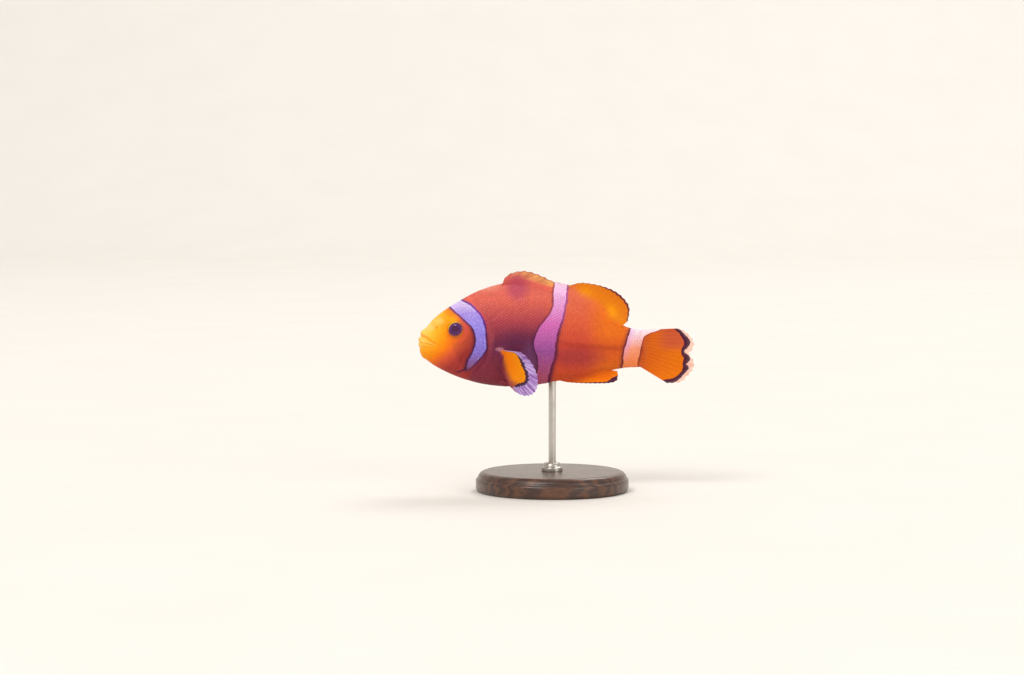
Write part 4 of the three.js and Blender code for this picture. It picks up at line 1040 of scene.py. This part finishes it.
def fin_piece(name, node, side, material, rays, rows, root, tip, across, thick_root, thick_tip, ridge, notch,
              bow, marks, sink=1.3, branches=(0.45, 0.74), skirt=0.0):
    """A fin as a closed slab. Column s goes from root(s) to tip(s), less a notch between rays; the sheet
    is bent by bow(s, t) along across and is a thin web, thicker in its fleshy root and raised on both
    faces along the rays. A skirt flares the root into the flank: it dies away outwards by an exponential
    and goes on widening inwards. marks gives the distance past the middle of the black line, half the
    line's width, the distance past the border of the root's flesh and the share of dusk."""
    s = np.linspace(0, 1, (rays - 1) * COLUMNS_PER_RAY + 1)
    t = np.concatenate([np.linspace(0, 0.97, rows - 3), [0.982, 0.992, 0.998, 1.0]])
    start, end = root(s), tip(s)
    way, length = unit(end - start), np.linalg.norm(end - start, axis=-1)
    f = s * (rays - 1) - np.round(s * (rays - 1))
    length = (length - notch * (0.5 - 0.5 * np.cos(2 * np.pi * f)))[:, None]
    S, T = s[:, None], t[None, :]
    reach = -sink + (length + sink) * T
    edge, out = length - reach, np.maximum(reach, 0)
    ribs = ray_ridges(f[:, None], T, branches)
    raised = ridge * ribs * np.minimum(5 * T, 1) * (1.1 - 0.8 * T)
    flare = skirt * np.where(reach > 0, np.exp(-out / SKIRT_REACH), 1 - 0.6 * reach)
    thick = thick_tip + (thick_root - thick_tip) * np.maximum(0, 1 - out / ROOT_REACH) ** 2 + raised + flare
    thick = thick * np.sqrt(np.clip((1 - T) * length / RIM_ROUND, 0.02, 1))
    thick = thick * np.sqrt(np.clip(np.minimum(S, 1 - S) / SIDE_ROUND + 0.05, 0.02, 1))
    middle = start[:, None] + way[:, None] * reach[..., None] + across * bow(S, T)[..., None]
    mirror = [1, -side, 1]
    front, back = ((middle + face * across * (thick / 2)[..., None]) * mirror for face in (1, -1))
    values = out, edge, ribs * np.minimum(4 * T, 1), *marks(S + 0 * T, reach, edge, middle), S * (rays - 1)
    measures = {key: np.tile(np.broadcast_to(value, reach.shape).ravel(), 2)
                for key, value in zip(FIN_MEASURES, values)}
    piece(name, *slab(row_frame(front), row_frame(back)), material, (node,), "fin", measures)


def side_view(points):
    """Side-view points as points of the middle plane."""
    return np.stack([points[..., 0], 0 * points[..., 0], points[..., 1]], -1)


def along_outline(curve):
    """The middle-plane point at a share of a sampled side-view curve."""
    shares = np.linspace(0, 1, len(curve))
    return lambda s: side_view(np.stack([np.interp(s, shares, curve[:, k]) for k in (0, 1)], -1))


def wave(swing, turns, start=0.0):
    """A sideways wave along the margin that grows with the square of the way out."""
    return lambda s, t: swing * t**2 * np.sin(turns * np.pi * s + start)


def median_fin(name, node, material, fin, line, inwards, bow, marks, **more):
    """A fin on the back or the belly: its root follows that line and its tips the margin. With a lean over
    1 the roots crowd forwards by that power, so that the rays lie back."""
    def root(s):
        x = fin["start"] + (fin["end"] - fin["start"]) * s ** fin["lean"]
        return side_view(np.stack([x, line(x) + inwards * 0.1], -1))

    fin_piece(name, node, -1, material, fin["rays"], root=root, tip=along_outline(outline(fin["margin"])),
              across=SIDEWAYS, bow=bow, marks=marks, **more)


# Colours in the order inner and outer blade, rim and its rays, black line, dusky part, rays, and the tone
# of the flesh, partly a painted shade.
spiny_web = fin_material(
    "fin_spiny_dorsal", (0.97, 0.55, 0.4), (1.0, 0.78, 0.44), (1.0, 0.8, 0.5), (0.5, 0.2, 0.2),
    (0.6, 0.2, 0.24), (0.82, 0.36, 0.44), (0.58, 0.1, 0.22), (0.97, 0.98, 0.97),
    rays=1.0, rays_from=-1.6, rays_reach=4.6, sharp=0.6, clear=0.04, soft=0.9)
soft_web = fin_material(
    "fin_soft_dorsal", (0.96, 0.64, 0.03), (0.87, 0.49, 0.01), (0.9, 0.6, 0.3), (0.5, 0.25, 0.12),
    (0.4, 0.14, 0.19), (0.85, 0.45, 0.07), (0.55, 0.25, 0.1), (0.86, 0.88, 0.86),
    rays=0.45, rays_reach=3.6, rim_clear=0.4, soft=1.6)
anal_web = fin_material(
    "fin_anal", (0.95, 0.44, 0.05), (0.96, 0.5, 0.01), (0.85, 0.5, 0.3), (0.45, 0.2, 0.1),
    (0.22, 0.08, 0.25), (0.84, 0.35, 0.15), (0.6, 0.22, 0.08), (0.9, 0.92, 0.9),
    rays_from=0.5, rim_clear=0.4, soft=1.4)
tail_web = fin_material(
    "fin_tail", (0.8, 0.37, 0.07), (0.88, 0.45, 0.01), (0.99, 0.8, 0.72), (0.99, 0.72, 0.62),
    (0.17, 0.07, 0.21), (0.74, 0.32, 0.2), (0.62, 0.28, 0.1), (0.9, 0.9, 0.9),
    rays_from=2.2, rim_clear=0.6, soft=0.35)
pectoral_web = fin_material(
    "fin_pectoral", (0.9, 0.48, 0.01), (0.93, 0.57, 0.01), (0.58, 0.38, 0.7), (0.86, 0.76, 0.96),
    (0.15, 0.06, 0.22), (0.6, 0.27, 0.22), (0.6, 0.3, 0.05), (0.92, 0.92, 0.95), clear=0.0, banded=0.0)
pelvic_web = fin_material(
    "fin_pelvic", (0.88, 0.41, 0.1), (0.94, 0.52, 0.06), (0.8, 0.5, 0.4), (0.6, 0.35, 0.3),
    (0.15, 0.06, 0.16), (0.6, 0.27, 0.22), (0.5, 0.2, 0.08), (0.9, 0.9, 0.9),
    rays=0.4, rays_from=1.0, soft=1.2, banded=0.0)

SOFT_BORDER, TAIL_BORDER = outline(SOFT_FLESH), outline(TAIL_BLACK)
PECTORAL_BORDERS = outline(PECTORAL_BLACK), outline(PECTORAL_FLESH)


def spiny_marks(s, reach, edge, m):
    """A thread of dark red line that ends before the margin's rear, and a stain that fades upwards."""
    stain = bell(m[..., 0] - 29.0, 3.8) * (0.45 + 0.45 * smooth_step(21.8, 20.0, m[..., 2]))
    return 0.1 - edge, 0.13 * np.sin(np.pi * s) ** 0.5 * (s < 0.9), reach - 2.3 + 1.2 * s**4, stain


def soft_marks(s, reach, edge, m):
    """A dark line, thickest behind the margin's middle, and dusk on the blade between bright patches."""
    x, z = m[..., 0], m[..., 2]
    line = 0.02 + 0.38 * smooth_step(0.3, 0.62, s) - 0.16 * smooth_step(0.8, 1, s)
    bright = sum(bell(np.hypot(x - patch_x, z - patch_z), wide) for patch_x, patch_z, wide in SOFT_PATCHES)
    flesh = np.minimum(distance_behind(SOFT_BORDER, x, z), reach - 0.4)
    return 0.22 - edge, line, flesh, 0.75 - 0.75 * bright


def anal_marks(s, reach, edge, m):
    """A dark line that thickens backwards into a wedge at the fin's rear corner."""
    x, z = m[..., 0], m[..., 2]
    line = 0.08 + 0.4 * smooth_step(0.15, 0.5, s) + 0.15 * smooth_step(54.5, 57.5, x)
    line = (line + 1.5 * smooth_step(55.9, 59.3, x)) * smooth_step(-9.2, -10.1, z)
    return 0.12 - edge, line, reach - 2.0 * (1 - s), 0.9 * smooth_step(52.0, 44.0, x)


def tail_marks(s, reach, edge, m):
    """The tail's black line follows its curve, in three lobes parted by thin places; the blade's colour
    starts at once. Dusk darkens the blade's upper rear, and near the root it is a painted shadow beside
    the tail band."""
    z = m[..., 2]
    lobes = bell(z - 0.8, 1.3) + bell(z + 4.3, 0.95) + 0.9 * bell(z + 7.2, 0.8) + 0.3 * bell(z + 10.4, 1.2)
    half = (0.5 + 0.46 * np.minimum(lobes, 1)) * smooth_step(-0.02, 0.06, s)
    # Dusk of the upper rear, and a painted shadow along the root beside the tail band.
    dusk = 0.9 * smooth_step(-3.0, 0.5, z) * smooth_step(70.0, 75.0, m[..., 0]) + 0.6 * bell(reach, 1.5)
    return distance_behind(TAIL_BORDER, m[..., 0], z), half, reach + 0.8, dusk


def pectoral_marks(s, reach, edge, m):
    """A black line that starts as a thread, thickens downwards and is scalloped at the rays, and the
    flesh's border, both by their side-view curves, which drop a little as the fin stands out."""
    z = m[..., 2] + 0.07 * m[..., 1]
    black, flesh = (distance_behind(curve, m[..., 0], z) for curve in PECTORAL_BORDERS)
    scallop = 0.11 * np.cos(2 * np.pi * ((PECTORAL_RAYS - 1) * s + 0.5)) * smooth_step(-3.0, -5.0, z)
    half = 0.05 + 0.43 * smooth_step(-2.2, -5.8, z) - 0.16 * bell(z + 7.0, 0.5) + scallop
    half = half * np.where(z < -8, smooth_step(28.4, 29.6, m[..., 0]), 1)
    return black, half, flesh, 0.8 * smooth_step(-9.5, -12.0, z) * smooth_step(3.0, 0.5, flesh)


def tail_fin():
    """The tail fin: rays from the stem's end edge, moved back by the gap, to the ragged margin."""
    edge = outline(FIN_ROOT_EDGE)
    run = unit(np.gradient(edge, axis=0))
    root = along_outline(edge + GAP * np.stack([-run[:, 1], run[:, 0]], -1))
    fin_piece(
        "tail_ray_fin", "tail_fin", -1, tail_web, TAIL["rays"], 64, lambda s: root(0.235 + 0.58 * s),
        along_outline(outline(TAIL["margin"])), SIDEWAYS, 1.5, 0.12, 0.28, 0.34, wave(0.7, 3.4, 0.4),
        tail_marks, sink=0.8)


def pectoral_fin(side_name, side):
    """A fan from a short upright root: rays turn evenly from a little below straight back to steeply
    down in a plane that flares from the flank, the middle rays longest, and the sheet is cupped."""
    flare = math.radians(35)
    backwards = np.array([math.cos(flare), -math.sin(flare), 0.0])
    downwards = unit(np.array([0.0, -0.3, -1.0]))
    across = unit(np.cross(backwards, downwards))

    def root(s):
        return np.stack([24.4 + 0 * s, -6.0 + 0 * s, -1.0 - 5.2 * s], -1)

    def tip(s):
        ends = 7.5 - 1.0 * s
        reach = ends + (15.3 - ends) * np.abs(np.sin(np.pi * s**1.1)) ** 0.72
        angle = np.radians(3 + 54 * s**0.95)[:, None]
        return root(s) + (backwards * np.cos(angle) + downwards * np.sin(angle)) * reach[:, None]

    fin_piece(
        "pectoral_web_" + side_name, "pectoral_fin_" + side_name, side, pectoral_web, PECTORAL_RAYS, 60, root,
        tip, across, 1.9, 0.12, 0.4, 0.4, lambda s, t: 1.1 * t**2 * (np.sin(np.pi * s) - 0.4), pectoral_marks,
        branches=(0.5, 0.78))


def pelvic_fin(side_name, side):
    """A narrow fan folded back under the belly, its first ray the longest."""
    across = unit(np.array([0.22, -0.36, -0.91]))

    def root(s):
        out = 2.4 * (1 - s)
        return np.stack([25.6 - 0.25 * out, -1.9 - 0.8 * out, -11.6 + 0.35 * out], -1)

    def tip(s):
        fall, aside = math.radians(12), np.radians(8 + 13 * (0.5 - s))
        way = np.stack([math.cos(fall) * np.cos(aside), -np.sin(aside), -math.sin(fall) + 0 * s], -1)
        return root(s) + way * (9.6 - 2.8 * s**1.5)[:, None]

    fin_piece(
        "pelvic_web_" + side_name, "pelvic_fin_" + side_name, side, pelvic_web, 6, 56, root, tip, across,
        1.4, 0.14, 0.4, 0.5, lambda s, t: 0.5 * np.sin(np.pi * s) * t,
        lambda s, reach, edge, m: (0.25 - edge, 0.22, reach - 3.2, 0))


median_fin(
    "spiny_dorsal_fin", "dorsal_fin_spiny", spiny_web, SPINY_DORSAL, back_line, -1, wave(0.35, 4),
    spiny_marks, rows=34, thick_root=1.5, thick_tip=0.14, ridge=0.55, notch=0.3, branches=(2.0, 3.0),
    skirt=0.8)
median_fin(
    "soft_dorsal_fin", "dorsal_fin_soft", soft_web, SOFT_DORSAL, back_line, -1, wave(0.5, 3), soft_marks,
    rows=48, thick_root=1.4, thick_tip=0.12, ridge=0.26, notch=0.2, skirt=0.9)
median_fin(
    "anal_ray_fin", "anal_fin", anal_web, ANAL, belly_line, 1, wave(0.3, 3), anal_marks,
    rows=40, thick_root=1.3, thick_tip=0.12, ridge=0.4, notch=0.2, skirt=0.7)
tail_fin()
for side_name, side in SIDES:
    pectoral_fin(side_name, side)
    pelvic_fin(side_name, side)

# ---------------------------------------------------------------- eyes

EYE, CORNEA = eye_material(), cornea_material()
PUPIL, IRIS, BALL = 1.86, (1.95, 2.45), (2.72, 1.8)  # radii of pupil and iris, and the ball's half axes
CORNEA_WALL, CORNEA_ARC = (0.07, 0.09), (0.015, 1.3)  # its thickness at the rim and in front; its angles
MARKS_AFT, MARKS_UP, MARKS_LONG, MARKS_HIGH = 0.13, 0.14, 1.08, 0.98
MARKS_TILT = (0.87, 0.5)


def round_eye(name, side_name, side, profile, material):
    """A profile of (radius, height) carried round the eye's axis on one side as a closed piece. Each point
    knows its radius in the eye's marks, which are a little longer than high and lie up and back of the
    axis, and how far it lies to the upper front of the eye, where the iris gets its painted highlight."""
    r, h = np.asarray(profile, float).T
    turn = np.linspace(0, 2 * np.pi, 64, endpoint=False)
    up = unit(np.array([0, 0, 1.0]) - EYE_OUT[2] * EYE_OUT)
    aft = np.cross(up, EYE_OUT)
    flat = aft * np.cos(turn)[:, None] + up * np.sin(turn)[:, None]
    rings = EYE_SKIN - EYE_SUNK * EYE_OUT + r[:, None, None] * flat[None] + h[:, None, None] * EYE_OUT
    along, upwards = r[:, None] * np.cos(turn) - MARKS_AFT, r[:, None] * np.sin(turn) - MARKS_UP
    cos, sin = MARKS_TILT
    marks = np.hypot((cos * along + sin * upwards) / MARKS_LONG, (cos * upwards - sin * along) / MARKS_HIGH)
    # Share of the iris's painted highlight: most at the top, a little more in front.
    bright = np.tile(0.95 * np.sin(turn) - 0.3 * np.cos(turn), len(r))
    piece(name + side_name, *tube(row_frame(rings * [1, -side, 1])), material, ("eye_" + side_name,), "eye",
          {"radius_mm": np.append(marks, [r[0], r[-1]]), "bright": np.append(bright, [0, 0])})


def eye_pieces(side_name, side):
    """The ball: a domed lens in the pupil, a step to a sloping iris, and the round back of an ellipsoid.
    The cornea: a thin closed shell on the front of the full ellipsoid."""
    lens = [(r, 1.42 - 0.07 * r * r) for r in np.linspace(0.04, PUPIL, 16)]
    iris = [(r, 1.16 - 0.46 * (r - IRIS[0])) for r in np.linspace(*IRIS, 8)]
    turn = np.linspace(math.radians(30), math.radians(178), 22)
    ball = [(BALL[0] * math.sin(a), BALL[1] * math.cos(a)) for a in turn]
    ball = [point for point, a in zip(ball, turn) if point[0] > IRIS[1] + 0.01 or a > 2]
    round_eye("eyeball_", side_name, side, lens + iris + ball, EYE)
    shell = [(EYE_RADIUS * math.sin(a), EYE_DEPTH * math.cos(a)) for a in np.linspace(*CORNEA_ARC, 26)]
    shell += [((EYE_RADIUS - CORNEA_WALL[0]) * math.sin(a), (EYE_DEPTH - CORNEA_WALL[1]) * math.cos(a))
              for a in np.linspace(*CORNEA_ARC[::-1], 26)]
    round_eye("cornea_", side_name, side, shell, CORNEA)


for side_name, side in SIDES:
    eye_pieces(side_name, side)

# ---------------------------------------------------------------- stand

WOOD, METAL = wood_material(), metal_material()


def rounded(profile, radius, steps=6):
    """A profile with each inner corner cut back along both sides and joined by a parabola."""
    p = np.asarray(profile, float)
    out = [p[0]]
    for a, b, c in zip(p[:-2], p[1:-1], p[2:]):
        cut = min(radius, np.linalg.norm(a - b) / 2, np.linalg.norm(c - b) / 2)
        u, v = b + unit(a - b) * cut, b + unit(c - b) * cut
        out += [(1 - k) ** 2 * u + 2 * k * (1 - k) * b + k * k * v for k in np.linspace(0, 1, steps)]
    return np.array(out + [p[-1]])


def stand_piece(name, node, profile, radius, material, finish, segments=128):
    """A turned piece of the stand: a profile of (radius, height), its corners rounded, carried once round
    an upright axis."""
    turn = np.linspace(0, 2 * np.pi, segments, endpoint=False)
    r, h = rounded(profile, radius).T[..., None]
    rings = np.stack(np.broadcast_arrays(r * np.cos(turn), r * np.sin(turn), h), -1)
    piece(name, *tube(rings * MM), material, (node,), finish)


stand_piece("stand_plinth", "stand_base", [
    (0.01, 0), (22.2, 0), (23, 0.8), (23, 3.6), (22.3, 4.2), (22.3, 4.7), (21.6, 5.6), (20.6, 6), (0.01, 6)],
    0.35, WOOD, "base")
stand_piece("stand_ferrule", "stand_collar", [
    (1.12, 6.0), (3.2, 6.0), (3.2, 7.2), (2.75, 7.5), (2.75, 8.0), (2.3, 8.6), (1.12, 8.6)],
    0.16, METAL, "metal")
rod_top = AXIS_HEIGHT + float(belly_line(ROD_X)) + 3 - GAP
stand_piece("stand_pin", "stand_rod", [(0.01, 2.3), (1.1, 2.3), (1.1, rod_top), (0.01, rod_top)],
            0.2, METAL, "metal", 64)
